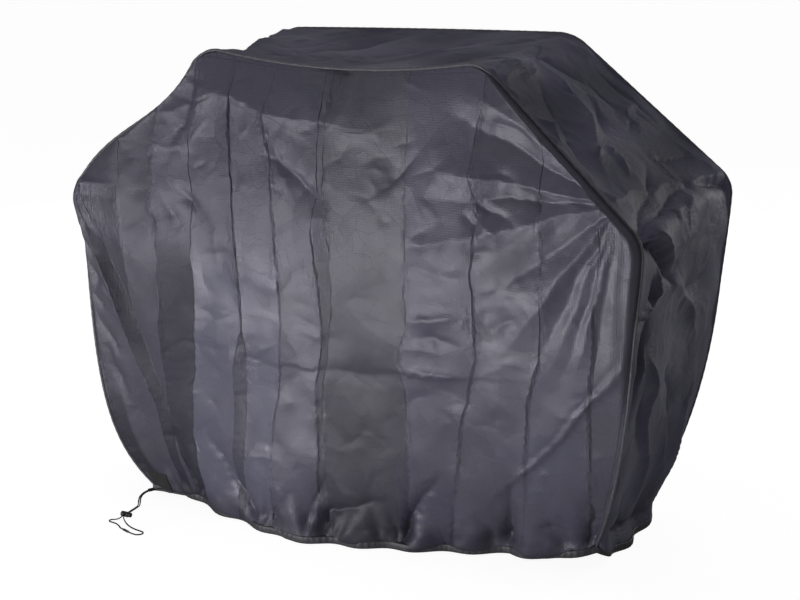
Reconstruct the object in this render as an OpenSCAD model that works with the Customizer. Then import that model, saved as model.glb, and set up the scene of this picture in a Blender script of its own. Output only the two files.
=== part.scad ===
// Cloth cover for a grill: an eight-sided front and back joined by one long gusset, corded seams,
// and a hem drawn in on a cord that ends in a loop with a sprung cord lock.
// Millimetres. The origin is on the floor under the middle, +X is the width and the front faces -Y.

/* [Cover] */
// Width across the two back shoulders, the widest place
cover_w = 1514; // [1400:2:1620]
// Depth across the shoulders, from the front seam to the back seam
cover_d = 660; // [620:10:720]
// Height of the top's front corners above the floor
cover_h = 1190; // [1130:5:1250]
// Height of the front shoulders above the floor
shoulder_h = 845; // [800:5:890]
// How far the back shoulders stand above the front ones
shoulder_lift = 17; // [0:1:25]
// How far the front left shoulder stands in from the back one
left_shoulder_in = 43; // [20:1:60]
// How far the front right shoulder stands in from the back one
right_shoulder_in = 27; // [10:1:50]
// Width of the top between the two slopes, as cut
top_w = 714; // [640:2:800]
// Depth of the top between its front and back seams
top_d = 610; // [560:10:650]
// How far the top's front left corner stands in
ear_in = 22; // [0:1:40]
// How far the top's back left corner spreads out
back_left_out = 98; // [40:1:120]
// How far the top's back left corner hangs below the front corners
back_left_drop = 8; // [0:1:15]
// How far the top's back right corner stands above the front corners
back_right_lift = 10; // [0:1:15]
// How far the top's back right corner stands in
back_right_in = 8; // [0:1:15]
// Length of the rounding on each side of a corner
corner_r = 40; // [20:1:60]
// Thickness of the coated cloth
cloth_t = 0.8; // [0.6:0.1:1.2]
// How far the left side falls in below its shoulders
left_inset = 30; // [10:1:40]
// How far the right side falls in below its shoulders
right_inset = 11; // [0:1:20]
// Sag of the upper half of the front left slope, which bulges half as far below
left_slope_sag = 16; // [0:1:20]
// Sag of the front top edge between its corners
front_sag = 25; // [5:1:35]
// Rise of the back top edge between its corners
back_rise = 2; // [0:1:12]
// Radius of the corded seams
piping_r = 3.5; // [3:0.1:4.5]

/* [Folds] */
// Depth of the packing creases down the front and the back
crease_depth = 10; // [0:1:14]
// Depth of the folds that fan out from the right front shoulder
fan_depth = 14; // [0:1:18]
// Reach of those folds from the shoulder
fan_reach = 420; // [300:10:480]
// Depth of the long folds in the gusset
gusset_fold = 8; // [0:1:12]
// Slack of the gusset between its two seams
gusset_slack = 8; // [0:1:12]
// How far each hem gather stands in and out
gather_depth = 8; // [0:1:10]
// Gathers along the front hem
front_gathers = 9; // [6:1:9]
// Gathers along the back hem
back_gathers = 6; // [4:1:7]
// Gathers along each side hem
side_gathers = 3; // [2:1:3]

/* [Hem] */
// Distance of the hem's left corners from the middle
left_hem_x = 595; // [585:1:605]
// Half the depth between the hem's left corners
left_hem_y = 220; // [210:1:230]
// Height of the hem's left corners off the floor
left_hem_rise = 14; // [10:1:18]
// Distance of the hem's front right corner from the middle
right_hem_x = 600; // [560:1:640]
// Distance of that corner from the middle plane; it is drawn in furthest
right_hem_y = 155; // [130:1:230]
// Distance of the hem's back right corner from the middle
back_hem_x = 632; // [600:1:660]
// Distance of that corner from the middle plane
back_hem_y = 245; // [200:1:260]
// Height of the hem's right corners off the floor
right_hem_rise = 48; // [10:1:60]
// Distance of the hem from the middle plane, halfway along the front
front_hem_y = 235; // [225:1:270]
// Distance of the hem from the middle plane, halfway along the back
rear_hem_y = 265; // [250:1:290]
// How far the front hem bellies out left of its middle
front_belly = 80; // [0:5:85]
// How far the side hems bow out between their corners
side_bow = 12; // [5:1:18]
// Height of the hem's tunnel
hem_h = 20; // [18:1:24]
// Thickness of the hem's tunnel
hem_t = 9; // [8:0.5:11]
// Thickness of the tunnel's wall
hem_wall = 1.5; // [1.2:0.1:1.8]

/* [Drawcord and lock] */
// Radius of the drawcord
cord_r = 1.4; // [1.2:0.1:1.4]
// Length of the webbing sleeve at the hem's outlet
outlet_len = 26; // [22:1:28]
// Outer radius of the lock's barrel
barrel_r = 7; // [6.5:0.1:7]
// Radius of the lock's cross bore for the two strands
strand_bore_r = 3.7; // [3.6:0.05:3.8]
// Travel of the lock's plunger
plunger_travel = 3.5; // [2.5:0.5:3.5]
// Length of the sleeve that joins the cord's two ends
joiner_len = 22; // [18:1:24]

/* [Hidden] */

cloth_grey = [0.24, 0.24, 0.27];
gusset_grey = [0.20, 0.20, 0.22];
trim_grey = [0.15, 0.15, 0.17];
cord_black = [0.04, 0.04, 0.045];
plastic_black = [0.06, 0.06, 0.065];
spring_steel = [0.7, 0.7, 0.72];

// Panels stop this far short of the seam line, inside the piping
seam_gap = 2;
// The panels' lower edges reach this far into the hem
hem_lap = 1.4;
// The hem's lowest stretches are flattened by this much, to stand on
hem_flat = 0.5;
// Power that carries the hem's corners into its straight middle
corner_power = 3;
side_rows = 8;
slope_rows = 4;
top_cols = 6;
cols_per_gather = 4;
tube_sides = 6;
cord_sides = 8;

// Creases across a panel, from the left seam (-1) to the right seam (1), and how far each stands back
front_creases = [
    [-1, 0], [-0.82, 1], [-0.69, 0.1], [-0.58, 0.8], [-0.40, 0.1], [-0.24, 0.7], [-0.06, 1],
    [0.10, 0.2], [0.23, 0.9], [0.46, 0.1], [0.68, 0.7], [0.86, 0.1], [1, 0]];
back_creases = [
    [-1, 0], [-0.75, 0.9], [-0.5, 0.1], [-0.25, 0.8], [0, 0.1], [0.3, 0.9], [0.6, 0.1], [0.8, 0.7], [1, 0]];
// Where the front hem bellies out (1) or falls back, from its left corner (-1) to its right one (1)
front_bellies = [
    [-1, 0], [-0.93, 0], [-0.85, -0.3], [-0.65, 0.3], [-0.45, 0.6], [-0.25, 1], [-0.1, 0.8], [0, 0.6],
    [0.12, 0.4], [0.3, 0], [0.48, -0.35], [0.65, -0.5], [0.82, 0], [1, 0]];
// Folds that fan out between straight down and straight across
fan_folds = 3;
gusset_folds = 3;

// Stretch below a shoulder in which the left and the right side fall in, as a share of the shoulder's height
left_inset_share = 0.18;
right_inset_share = 0.35;
// Powers with which the left and the right side then curve in to the hem
left_curve = 7.5;
right_curve = 2.9;

// Each corner of the cover: hem x, y and rise, shoulder, corner of the top, inset, its share, curve, slope sag
front_left = [
    [left_hem_x, left_hem_y, left_hem_rise],
    [cover_w / 2 - left_shoulder_in, cover_d / 2, shoulder_h],
    [top_w / 2 - ear_in, top_d / 2, cover_h], left_inset, left_inset_share, left_curve, left_slope_sag];
front_right = [
    [right_hem_x, right_hem_y, right_hem_rise],
    [cover_w / 2 - right_shoulder_in, cover_d / 2, shoulder_h],
    [top_w / 2, top_d / 2, cover_h], right_inset, right_inset_share, right_curve, 0];
back_right = [
    [back_hem_x, back_hem_y, right_hem_rise],
    [cover_w / 2, cover_d / 2, shoulder_h + shoulder_lift],
    [top_w / 2 - back_right_in, top_d / 2, cover_h + back_right_lift],
    right_inset, right_inset_share, right_curve, 0];
back_left = [
    [left_hem_x, left_hem_y, left_hem_rise],
    [cover_w / 2, cover_d / 2, shoulder_h + shoulder_lift],
    [top_w / 2 + back_left_out, top_d / 2, cover_h - back_left_drop],
    left_inset, left_inset_share, left_curve, 0];

function mix(a, b, t) = a + (b - a) * t;
function bend(a, b, c, t) = mix(mix(a, b, t), mix(b, c, t), t);
function unit(v) = v / norm(v);
function smooth(t) = let (c = max(0, min(1, t))) c * c * (3 - 2 * c);
function flat_top(u) = 1 - pow(abs(u), corner_power);

// Stations up the seam at one corner: x and y as distances, z, and two weights, one for the hem at the
// bottom and one for the top edge
function side_station(corner, h) =
    let (hem = corner[0], shoulder = corner[1], inset = corner[3], low = 1 - h)
    [shoulder[0] - inset * smooth(low / corner[4]) - (shoulder[0] - inset - hem[0]) * pow(low, corner[5]),
        shoulder[1] - (shoulder[1] - hem[1]) * pow(low, 3),
        mix(hem[2] + hem_h - hem_lap, shoulder[2], h),
        pow(low, 3),
        0];
function slope_station(corner, from, to, t) =
    let (outward = unit([to[2] - from[2], 0, from[0] - to[0], 0, 0]))
    mix(from, to, t) - outward * corner[6] * sin(180 * t) * (4.5 * t - 1.8);
function half_seam(corner) =
    let (shoulder = concat(corner[1], [0, 0]), top = concat(corner[2], [0, 0]))
    let (step = (top - shoulder) * corner_r / norm(top - shoulder))
    let (top_end = top + [-corner_r, 0, 0, 0, 1], side_end = 1 - corner_r / shoulder[2])
    concat(
        [for (i = [0 : side_rows - 1]) side_station(corner, side_end * i / (side_rows - 1))],
        [bend(side_station(corner, side_end), shoulder, shoulder + step, 0.5)],
        [for (i = [0 : slope_rows]) slope_station(corner, shoulder + step, top - step, i / slope_rows)],
        [bend(top - step, top, top_end, 0.5), top_end]);
front_left_seam = half_seam(front_left);
front_right_seam = half_seam(front_right);
back_right_seam = half_seam(back_right);
back_left_seam = half_seam(back_left);
seam_rows = len(front_left_seam);

// Closed sheet between an outer and an inner grid of points. Seen from outside, the rows run upwards
// and the points of a row run to the right.
module sheet(outer, inner) {
    rows = len(outer);
    cols = len(outer[0]);
    back = rows * cols;
    cells = [for (r = [0 : rows - 2]) for (c = [0 : cols - 2])
        [r * cols + c, r * cols + c + 1, (r + 1) * cols + c + 1, (r + 1) * cols + c]];
    rim = concat(
        [for (c = [0 : cols - 2]) [c, c + 1]],
        [for (r = [0 : rows - 2]) [(r + 1) * cols - 1, (r + 2) * cols - 1]],
        [for (c = [cols - 1 : -1 : 1]) [(rows - 1) * cols + c, (rows - 1) * cols + c - 1]],
        [for (r = [rows - 1 : -1 : 1]) [r * cols, (r - 1) * cols]]);
    outside = [for (q = cells) each [[q[0], q[3], q[2]], [q[0], q[2], q[1]]]];
    inside = [for (f = outside) [f[0] + back, f[2] + back, f[1] + back]];
    edges = [for (e = rim) each [[e[0], e[1], e[1] + back], [e[0], e[1] + back, e[0] + back]]];
    polyhedron([for (g = [outer, inner]) each [for (row = g) each row]], concat(outside, inside, edges));
}

// Direction of a path at point i
function heading(path, i) = unit(path[min(i + 1, len(path) - 1)] - path[max(i - 1, 0)]);

// Solid round tube along a path; side_axis is a direction that the path never runs along
module tube(path, r, sides, side_axis) {
    n = len(path);
    rings = [for (i = [0 : n - 1])
        let (t = heading(path, i), e1 = unit(cross(side_axis, t)), e2 = cross(t, e1))
        [for (k = [0 : sides - 1]) path[i] + r * (cos(360 * k / sides) * e1 + sin(360 * k / sides) * e2)]];
    walls = [for (i = [0 : n - 2]) for (k = [0 : sides - 1])
        let (a = i * sides + k, b = i * sides + (k + 1) % sides)
        each [[a, a + sides, b + sides], [a, b + sides, b]]];
    last = (n - 1) * sides;
    caps = [for (k = [1 : sides - 2]) each [[0, k, k + 1], [last, last + k + 1, last + k]]];
    polyhedron([for (ring = rings) each ring], concat(walls, caps));
}

// Folds that fan out from the right front shoulder, as a depth at x, z
function fan(x, z) =
    let (across = front_right[1][0] - x, down = shoulder_h - z)
    let (turn = atan2(across, down), reach = norm([across, down]) / fan_reach)
    reach >= 1 || down < -corner_r ? 0
    : fan_depth * sin(180 * reach) * pow(sin(180 * fan_folds * turn / 90), 2);

// A point of the front panel, at u across and at one row of the seams
function front_point(u, row) =
    let (f = (u + 1) / 2, l = front_left_seam[row], r = front_right_seam[row], s = mix(l, r, f))
    let (x = mix(seam_gap - l[0], r[0] - seam_gap, f), low = s[3], top = s[4])
    let (hem = mix(front_left[0], front_right[0], f), high = max(0, (s[2] - shoulder_h) / (cover_h - shoulder_h)))
    let (z = s[2] - seam_gap * top - hem[2] * flat_top(u) * low - front_sag * (1 - u * u) * high * high)
    let (gather = gather_depth * sin(360 * front_gathers * f) * low * low)
    let (crease = crease_depth * lookup(u, front_creases) * (1 - low * low) * (1 - top))
    let (bow = ((front_hem_y - hem[1]) * flat_top(u) + front_belly * lookup(u, front_bellies)) * low)
    let (fold = fan(x, z) * (1 - low) * (1 - u * u))
    [x, -s[1] - bow + gather + crease + fold, z];

// A point of the back panel; u runs from the right seam to the left one, as seen from behind
function back_point(u, row) =
    let (f = (u + 1) / 2, l = back_left_seam[row], r = back_right_seam[row], s = mix(r, l, f))
    let (x = mix(r[0] - seam_gap, seam_gap - l[0], f), low = s[3], top = s[4])
    let (hem = mix(back_right[0], back_left[0], f))
    let (z = s[2] - seam_gap * top - hem[2] * flat_top(u) * low + back_rise * (1 - u * u) * top)
    let (gather = gather_depth * sin(360 * back_gathers * f) * low * low)
    let (crease = crease_depth * lookup(u, back_creases) * (1 - low * low) * (1 - top))
    let (bow = (rear_hem_y - hem[1]) * flat_top(u) * low)
    [x, s[1] + bow + gather - crease, z];

module face_panel(cols, inward, row_point) {
    outer = [for (row = [0 : seam_rows - 1]) [for (c = [0 : cols]) row_point(2 * c / cols - 1, row)]];
    inner = [for (line = outer) [for (p = line) p + inward]];
    sheet(outer, inner);
}

// Stations of one seam from the left hem over the top to the right hem, with signed x
function mirrored(s) = [-s[0], s[1], s[2], s[3], s[4]];
function seam_round(left, right) =
    let (last = seam_rows - 1)
    concat(
        [for (s = left) mirrored(s)],
        [for (i = [1 : top_cols - 1]) mix(mirrored(left[last]), right[last], i / top_cols)],
        [for (i = [last : -1 : 0]) right[i]]);
front_round = seam_round(front_left_seam, front_right_seam);
back_round = seam_round(back_left_seam, back_right_seam);
gusset_cols = len(front_round);

function gusset_normal(i) =
    let (before = max(i - 1, 0), after = min(i + 1, gusset_cols - 1))
    let (along = front_round[after] + back_round[after] - front_round[before] - back_round[before])
    unit([-along[2], 0, along[0]]);

// How far the top edge of a seam sags at one of its stations
function edge_sag(round, i, sag) =
    let (left = round[seam_rows - 1][0], right = round[gusset_cols - seam_rows][0])
    round[i][4] * sag * (1 - pow((2 * round[i][0] - left - right) / (right - left), 2));

// A point of the gusset at one station, with t from the front seam (-1) to the back seam (1)
function gusset_point(i, t) =
    let (a = front_round[i], b = back_round[i], f = (t + 1) / 2, s = mix(a, b, f), low = s[3])
    let (rise = s[0] < 0 ? left_hem_rise : right_hem_rise)
    let (bow = side_bow * flat_top(t) * low)
    let (gather = gather_depth * sin(360 * side_gathers * f) * low * low)
    let (fold = gusset_fold * pow(sin(180 * gusset_folds * f), 2), slack = gusset_slack * (1 - t * t))
    let (sag = mix(edge_sag(front_round, i, front_sag), edge_sag(back_round, i, -back_rise), f))
    [s[0], mix(seam_gap - a[1], b[1] - seam_gap, f), s[2] - rise * flat_top(t) * low - sag]
    + gusset_normal(i) * (bow + gather - (fold + slack) * (1 - low));

gusset_rows = cols_per_gather * side_gathers;

module gusset_panel() {
    columns = [0 : gusset_cols - 1];
    outer = [for (r = [0 : gusset_rows]) [for (i = columns) gusset_point(i, 2 * r / gusset_rows - 1)]];
    inner = [for (line = outer) [for (i = columns) line[i] - cloth_t * gusset_normal(i)]];
    color(gusset_grey) sheet(outer, inner);
}

module front_panel() {
    color(cloth_grey)
        face_panel(cols_per_gather * front_gathers, [0, cloth_t, 0], function(u, row) front_point(u, row));
}

module back_panel() {
    color(cloth_grey)
        face_panel(cols_per_gather * back_gathers, [0, -cloth_t, 0], function(u, row) back_point(u, row));
}

// Corded seam along the front (side -1) or the back (side 1)
module piping(round, side, sag) {
    path = [for (i = [0 : gusset_cols - 1])
        [round[i][0], side * round[i][1], round[i][2] - edge_sag(round, i, sag)]];
    color(trim_grey) tube(path, piping_r, tube_sides, [0, 1, 0]);
}

module front_piping() { piping(front_round, -1, front_sag); }
module back_piping() { piping(back_round, 1, -back_rise); }

// Middle of the hem's tunnel, counter-clockwise from the front left corner
function hem_z(rise, u) = hem_h / 2 + max(0, rise * (1 - flat_top(u)) - hem_flat);
function long_hem(u, a, b, mid_y, belly, gathers, side) =
    let (f = (u + 1) / 2, corner = mix(a, b, f))
    let (gather = gather_depth * sin(360 * gathers * f))
    let (y = corner[1] + (mid_y - corner[1]) * flat_top(u) + belly * lookup(u, front_bellies))
    [side * mix(a[0], -b[0], f), side * y + gather, hem_z(corner[2], u)];
function side_hem(t, a, b, side) =
    let (f = (t + 1) / 2, corner = mix(a, b, f))
    let (gather = gather_depth * sin(360 * side_gathers * f))
    [side * (corner[0] + side_bow * flat_top(t)) + gather, side * mix(-a[1], b[1], f), hem_z(corner[2], t)];

front_rings = cols_per_gather * front_gathers;
back_rings = cols_per_gather * back_gathers;
side_rings = cols_per_gather * side_gathers;
function steps(n) = [for (i = [0 : n - 1]) 2 * i / n - 1];
hem_path = concat(
    [for (u = steps(front_rings))
        long_hem(u, front_left[0], front_right[0], front_hem_y, front_belly, front_gathers, -1)],
    [for (t = steps(side_rings)) side_hem(t, front_right[0], back_right[0], 1)],
    [for (u = steps(back_rings))
        long_hem(u, back_right[0], back_left[0], rear_hem_y, 0, back_gathers, 1)],
    [for (t = steps(side_rings)) side_hem(t, back_left[0], front_left[0], -1)]);
hem_rings = len(hem_path);
right_start = front_rings;
back_start = right_start + side_rings;
left_start = back_start + back_rings;

function hem_inward(i) =
    let (d = hem_path[(i + 1) % hem_rings] - hem_path[(i + hem_rings - 1) % hem_rings])
    unit([-d[1], d[0], 0]);
hem_section = [[1, 0], [0.55, 1], [-0.55, 1], [-1, 0], [-0.55, -1], [0.55, -1]];
function hem_ring(i, inset) =
    let (p = hem_path[i % hem_rings], m = hem_inward(i % hem_rings))
    [for (q = hem_section) p + q[0] * (hem_t / 2 - inset) * m + [0, 0, q[1] * (hem_h / 2 - inset)]];

// One length of the hollow hem, from one corner's ring to the next
module hem_length(first, last) {
    n = last - first + 1;
    outer = [for (i = [first : last]) each hem_ring(i, 0)];
    inner = [for (i = [first : last]) each hem_ring(i, hem_wall)];
    back = n * tube_sides;
    walls = [for (i = [0 : n - 2]) for (k = [0 : tube_sides - 1])
        let (a = i * tube_sides + k, b = i * tube_sides + (k + 1) % tube_sides)
        each [[a, a + tube_sides, b + tube_sides], [a, b + tube_sides, b]]];
    bore = [for (f = walls) [f[0] + back, f[2] + back, f[1] + back]];
    end = (n - 1) * tube_sides;
    caps = [for (k = [0 : tube_sides - 1])
        let (a = k, b = (k + 1) % tube_sides)
        each [[a, b, b + back], [a, b + back, a + back],
            [a + end, b + end + back, b + end], [a + end, a + end + back, b + end + back]]];
    color(trim_grey) polyhedron(concat(outer, inner), concat(walls, bore, caps));
}

module front_hem() { hem_length(0, right_start); }
module right_hem() { hem_length(right_start, back_start); }
module back_hem() { hem_length(back_start, left_start); }
module left_hem() { hem_length(left_start, hem_rings); }

// The outlet's sleeve starts in the hem's front left corner and points out over the floor
outlet_root = [-590, -212, 18];
outlet_turn = -30;
outlet_w = 12;
outlet_h = 7;
outlet_wall = 1.5;
// The lock's cross bore, where the two strands pass through
lock_pos = [-582, -368, 7.5];
strand_step = 2;

// Cord from the outlet round the inside of the hem and back to the outlet
drawcord_start = [[-596, -226, 18], [-591, -219, 19], [-582, -222, 22]];
drawcord_end = [[-600, -206, 22], [-597, -214, 19], [-600, -224, 18]];

// Free cord: out through the lock, round the loop and the joiner, and back through the lock
joiner_from = [-544, -438, 3.2];
joiner_to = [-516, -448, 3.2];
tail_route = [
    [-600, -224, 18], [-606, -235, 17], [-611, -250, 14], [-609, -268, 11], [-600, -286, 9],
    [-590, -302, 8], [-585, -313, 7.5], [-584, -325, 7.5], [-584, -340, 7.5], [-584, -356, 7.5],
    [-584, -372, 7.5], [-584, -384, 6.5], [-588, -393, 4], [-597, -397, 2], [-604, -400, 1.5],
    [-606, -406, 1.5], [-602, -411, 1.5], [-592, -413, 1.5], [-578, -416, 1.5], [-564, -424, 1.5],
    [-554, -433, 2.5], joiner_from, joiner_to, [-505, -450, 2.5], [-495, -449, 1.5],
    [-487, -444, 1.5], [-484, -437, 1.5], [-488, -430, 1.5], [-498, -427, 1.5], [-514, -424, 1.5],
    [-532, -418, 1.5], [-550, -408, 1.5], [-565, -397, 3], [-575, -388, 5.5], [-580, -378, 7.5],
    [-580, -360, 7.5], [-580, -342, 7.5], [-580, -325, 7.5], [-581, -312, 7.5], [-586, -300, 8],
    [-596, -284, 9], [-605, -267, 11], [-607, -251, 14], [-602, -237, 17], [-596, -226, 18]];

// Smooth curve through hand-placed points, with one more point halfway along each stretch
function halfway(p, i) =
    let (a = p[max(i - 1, 0)], b = p[i], c = p[i + 1], d = p[min(i + 2, len(p) - 1)])
    (9 * (b + c) - a - d) / 16;
function smoothed(p) = concat([for (i = [0 : len(p) - 2]) each [p[i], halfway(p, i)]], [p[len(p) - 1]]);

module hem_drawcord() {
    path = concat(drawcord_start, [for (i = [1 : hem_rings - 1]) hem_path[i]], drawcord_end);
    color(cord_black) tube(path, cord_r, tube_sides, [0, 0, 1]);
}

module cord_tail() {
    color(cord_black) tube(smoothed(tail_route), cord_r, cord_sides, [0, 0, 1]);
}

module rounded_bar(w, h) {
    hull()
        for (side = [-1, 1])
            translate([side * (w - h) / 2, 0]) circle(d = h, $fn = 32);
}

module cord_outlet() {
    color(cord_black)
        translate(outlet_root) rotate([90, 0, outlet_turn])
            linear_extrude(outlet_len)
                difference() {
                    rounded_bar(outlet_w, outlet_h);
                    rounded_bar(outlet_w - 2 * outlet_wall, outlet_h - 2 * outlet_wall);
                }
}

joiner_r = 3;
joiner_bore_r = cord_r + 0.1;

module cord_joiner() {
    along = joiner_to - joiner_from;
    color(plastic_black)
        translate((joiner_from + joiner_to) / 2) rotate([90, 0, atan2(along[0], -along[1])])
            rotate_extrude($fn = 48)
                polygon([
                    [joiner_bore_r, -joiner_len / 2], [joiner_r - 0.8, -joiner_len / 2],
                    [joiner_r, -joiner_len / 2 + 1.2], [joiner_r, joiner_len / 2 - 1.2],
                    [joiner_r - 0.8, joiner_len / 2], [joiner_bore_r, joiner_len / 2]]);
}

// The lock lies with its plunger along X; its parts are drawn round the cross bore
barrel_bore_r = 5;
plunger_clear = 0.05;
plunger_r = barrel_bore_r - plunger_clear;
barrel_floor = 1.6;
spring_len = 6;
cell_gap = 0.4;
// Plunger's window: its inner edge stands just behind the strands, its outer edge clears them when pressed
window_in = -strand_step - cord_r - cell_gap;
window_out = strand_bore_r + plunger_travel + 0.2;
plunger_foot = window_in - 2;
barrel_end = plunger_foot - spring_len - barrel_floor;
barrel_rim = window_out + 1;
head_start = barrel_rim + plunger_travel + 0.5;
head_len = 3.6;
head_r = 6;
lug_len = 1.6;
lug_w = 2.6;
lug_reach = 6.3;
lug_gap = 0.2;

// Lathe along X, from an outline of x and radius
module lathe(outline) {
    rotate([0, 90, 0]) rotate_extrude($fn = 64) polygon([for (p = outline) [p[1], p[0]]]);
}

module lock_barrel() {
    color(plastic_black)
        translate(lock_pos)
            difference() {
                lathe([
                    [barrel_end, 0], [barrel_end, barrel_r - 1.5], [barrel_end + 1.5, barrel_r],
                    [barrel_rim - 0.8, barrel_r], [barrel_rim, barrel_r - 0.8],
                    [barrel_rim, barrel_bore_r], [barrel_end + barrel_floor, barrel_bore_r],
                    [barrel_end + barrel_floor, 0]]);
                rotate([90, 0, 0]) cylinder(r = strand_bore_r, h = 4 * barrel_r, center = true, $fn = 64);
                slot_len = lug_len + plunger_travel + 2 * lug_gap;
                translate([plunger_foot - plunger_travel - lug_gap + slot_len / 2, 0, 0])
                    cube([slot_len, lug_w + 2 * lug_gap, 4 * barrel_r], center = true);
            }
}

module lock_plunger() {
    color(plastic_black)
        translate(lock_pos) {
            difference() {
                lathe([
                    [plunger_foot, 0], [plunger_foot, plunger_r],
                    [head_start, plunger_r], [head_start, head_r],
                    [head_start + head_len - 1.2, head_r], [head_start + head_len, head_r - 1.6],
                    [head_start + head_len, 0]]);
                translate([window_in, -2 * barrel_r, -strand_bore_r])
                    cube([window_out - window_in, 4 * barrel_r, 2 * strand_bore_r]);
            }
            for (side = [-1, 1])
                translate([plunger_foot, -lug_w / 2, side > 0 ? plunger_r - 1 : -lug_reach])
                    cube([lug_len, lug_w, lug_reach - plunger_r + 1]);
        }
}

// Coil spring between the barrel's floor and the plunger's foot
spring_r = 3.2;
wire_r = 0.35;
spring_turns = 4;
rings_per_turn = 8;
spring_steps = spring_turns * rings_per_turn;
spring_start = barrel_end + barrel_floor + wire_r + 0.1;
spring_rise = spring_len - 2 * wire_r - 0.2;
spring_path = [for (i = [0 : spring_steps])
    let (turn = 360 * i / rings_per_turn)
    [spring_start + spring_rise * i / spring_steps, spring_r * cos(turn), spring_r * sin(turn)]];
spring_gap = min([for (i = [0 : spring_steps - rings_per_turn])
    norm(spring_path[i + rings_per_turn] - spring_path[i])]) - 2 * wire_r;
echo(least_gap_between_spring_turns = spring_gap);

module lock_spring() {
    color(spring_steel) translate(lock_pos) tube(spring_path, wire_r, tube_sides, [1, 0, 0]);
}

front_panel();
back_panel();
gusset_panel();
front_piping();
back_piping();
front_hem();
right_hem();
back_hem();
left_hem();
hem_drawcord();
cord_outlet();
cord_tail();
cord_joiner();
lock_barrel();
lock_plunger();
lock_spring();
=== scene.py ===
"""Dresses the grill cover: creased cloth, corded seams, a gathered hem, stitches and a braided drawcord."""

import math

import bpy
import numpy as np
from bpy.props import FloatProperty, FloatVectorProperty, IntProperty, PointerProperty
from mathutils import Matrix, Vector


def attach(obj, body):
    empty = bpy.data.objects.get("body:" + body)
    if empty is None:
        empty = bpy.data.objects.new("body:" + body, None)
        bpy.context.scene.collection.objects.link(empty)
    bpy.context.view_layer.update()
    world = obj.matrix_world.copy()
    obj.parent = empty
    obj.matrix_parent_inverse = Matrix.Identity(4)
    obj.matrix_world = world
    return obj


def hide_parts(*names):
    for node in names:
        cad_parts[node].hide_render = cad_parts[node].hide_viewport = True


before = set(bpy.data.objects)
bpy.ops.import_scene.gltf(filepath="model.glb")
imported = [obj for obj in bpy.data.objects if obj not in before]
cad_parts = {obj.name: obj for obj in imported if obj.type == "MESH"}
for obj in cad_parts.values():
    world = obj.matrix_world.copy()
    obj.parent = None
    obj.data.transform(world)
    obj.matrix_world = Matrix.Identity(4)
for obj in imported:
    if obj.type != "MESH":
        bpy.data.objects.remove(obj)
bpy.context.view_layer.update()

bl_info = {
    "name": "Grill Cover",
    "version": (1, 0, 0),
    "blender": (4, 5, 0),
    "location": "View3D > Sidebar > Cover",
    "description": "Builds a creased cloth grill cover with corded seams and a drawcord hem",
    "category": "Add Mesh",
}

# Seams, hem and sides as the solids have them; a pair is for the left and the right side
CORNER_POWER = 3
SEAM_GAP = 0.002
HEM_LAP = 0.0014
HEM_FLAT = 0.0005
INSET_SHARES = (0.18, 0.35)
SIDE_CURVES = (7.5, 2.9)

# How much deeper the front's and the gusset's folds are than their tables say
RELIEF = 1.5
GUSSET_RELIEF = 1.8

# Packing creases: width and groove of their lines, and the least gap between columns
CREASE_WIDTH = 0.003
CREASE_GROOVE = 0.0005
COLUMN_GAP = 0.0006

# How far small wrinkles spread from a packing crease and from a seam
WRINKLE_SPREAD = 0.012
SEAM_SPREAD = 0.018

# Any crease: its reach in flank widths, and the width of its line of painted shade and the depth at which
# that shade is full
CREASE_REACH = 5
CREASE_SHADE_WIDTH = 0.0025
CREASE_SHADE_DEPTH = 0.008

# Small random creases: half their length and the widths of their flanks, each from and to
CRUMPLE_HALF = (0.02, 0.07)
CRUMPLE_FLANKS = (0.005, 0.018)

# Soft waves that bend places on a cloth, each as a size and a length
SWAY_WAVES = 6
PLEAT_SWAY = [(0.002, 0.16), (0.0012, 0.03)]
FRONT_SWAY = [(0.004, 0.16), (0.0015, 0.04)]
BACK_SWAY = [(0.006, 0.16)]
GUSSET_SWAY = [(0.005, 0.16), (0.0015, 0.04)]

# How far right the front's folds are set, how that lessens across, and its share at each height
SET_OVER = 0.026
SET_OVER_SLOPE = 0.016
SET_OVER_SHARES = [(0, 0.1), (0.3, 0.5), (0.6, 1), (0.9, 0.8), (1.19, 0.3)]

# Shares of a cloth in which its relief dies away: at the edges, towards the top and towards the hem
PANEL_EDGE = 0.016
GUSSET_EDGE = 0.035
TOP_HOLD = 0.35
HEM_HOLD = 0.12

# Swell of the front below its rolled top edge: how far it stands out, over what height that sets in, the
# height at which it has died away and how far above that it begins to
TOP_ROLL = 0.028
TOP_ROLL_HEIGHT = 0.05
TOP_ROLL_END = 0.3
TOP_ROLL_FADE = 0.5

# Cloth over the hem: how far it billows out and hangs down, each as a size and the heights in which it
# sets in and fades; the gap between pinches that lets it stand fully, and how far its lobes lean left going
# up; and the small folds at a pinch, as a depth and how far below the hem they meet
BILLOW = (0.009, 0.006, 0.080)
DROOP = (0.026, 0.003, 0.030)
LOBE_GAP = 0.16
LOBE_LEAN = 0.15
PINCH_DEPTH = 0.0035
PINCH_BELOW = 0.015

# Weave: spacing and width of the thick threads and of the fine ones
RIPSTOP_PITCH = 0.0056
RIPSTOP_WIDTH = 0.0012
THREAD_PITCH = 0.0009
THREAD_WIDTH = 0.0004

# The gusset's cloth against the panels', in red, green and blue: a lighter copy, painted light for the light
# and sheen it gets less of
GUSSET_PAINTED_LIGHT = (1.44, 1.44, 1.56)

# Where the front hem bellies out (1) or falls back, from its left corner (-1) to its right one (1)
FRONT_BELLIES = [
    (-1, 0), (-0.93, 0), (-0.85, -0.3), (-0.65, 0.3), (-0.45, 0.6), (-0.25, 1), (-0.1, 0.8), (0, 0.6),
    (0.12, 0.4), (0.3, 0), (0.48, -0.35), (0.65, -0.5), (0.82, 0), (1, 0)]
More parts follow.
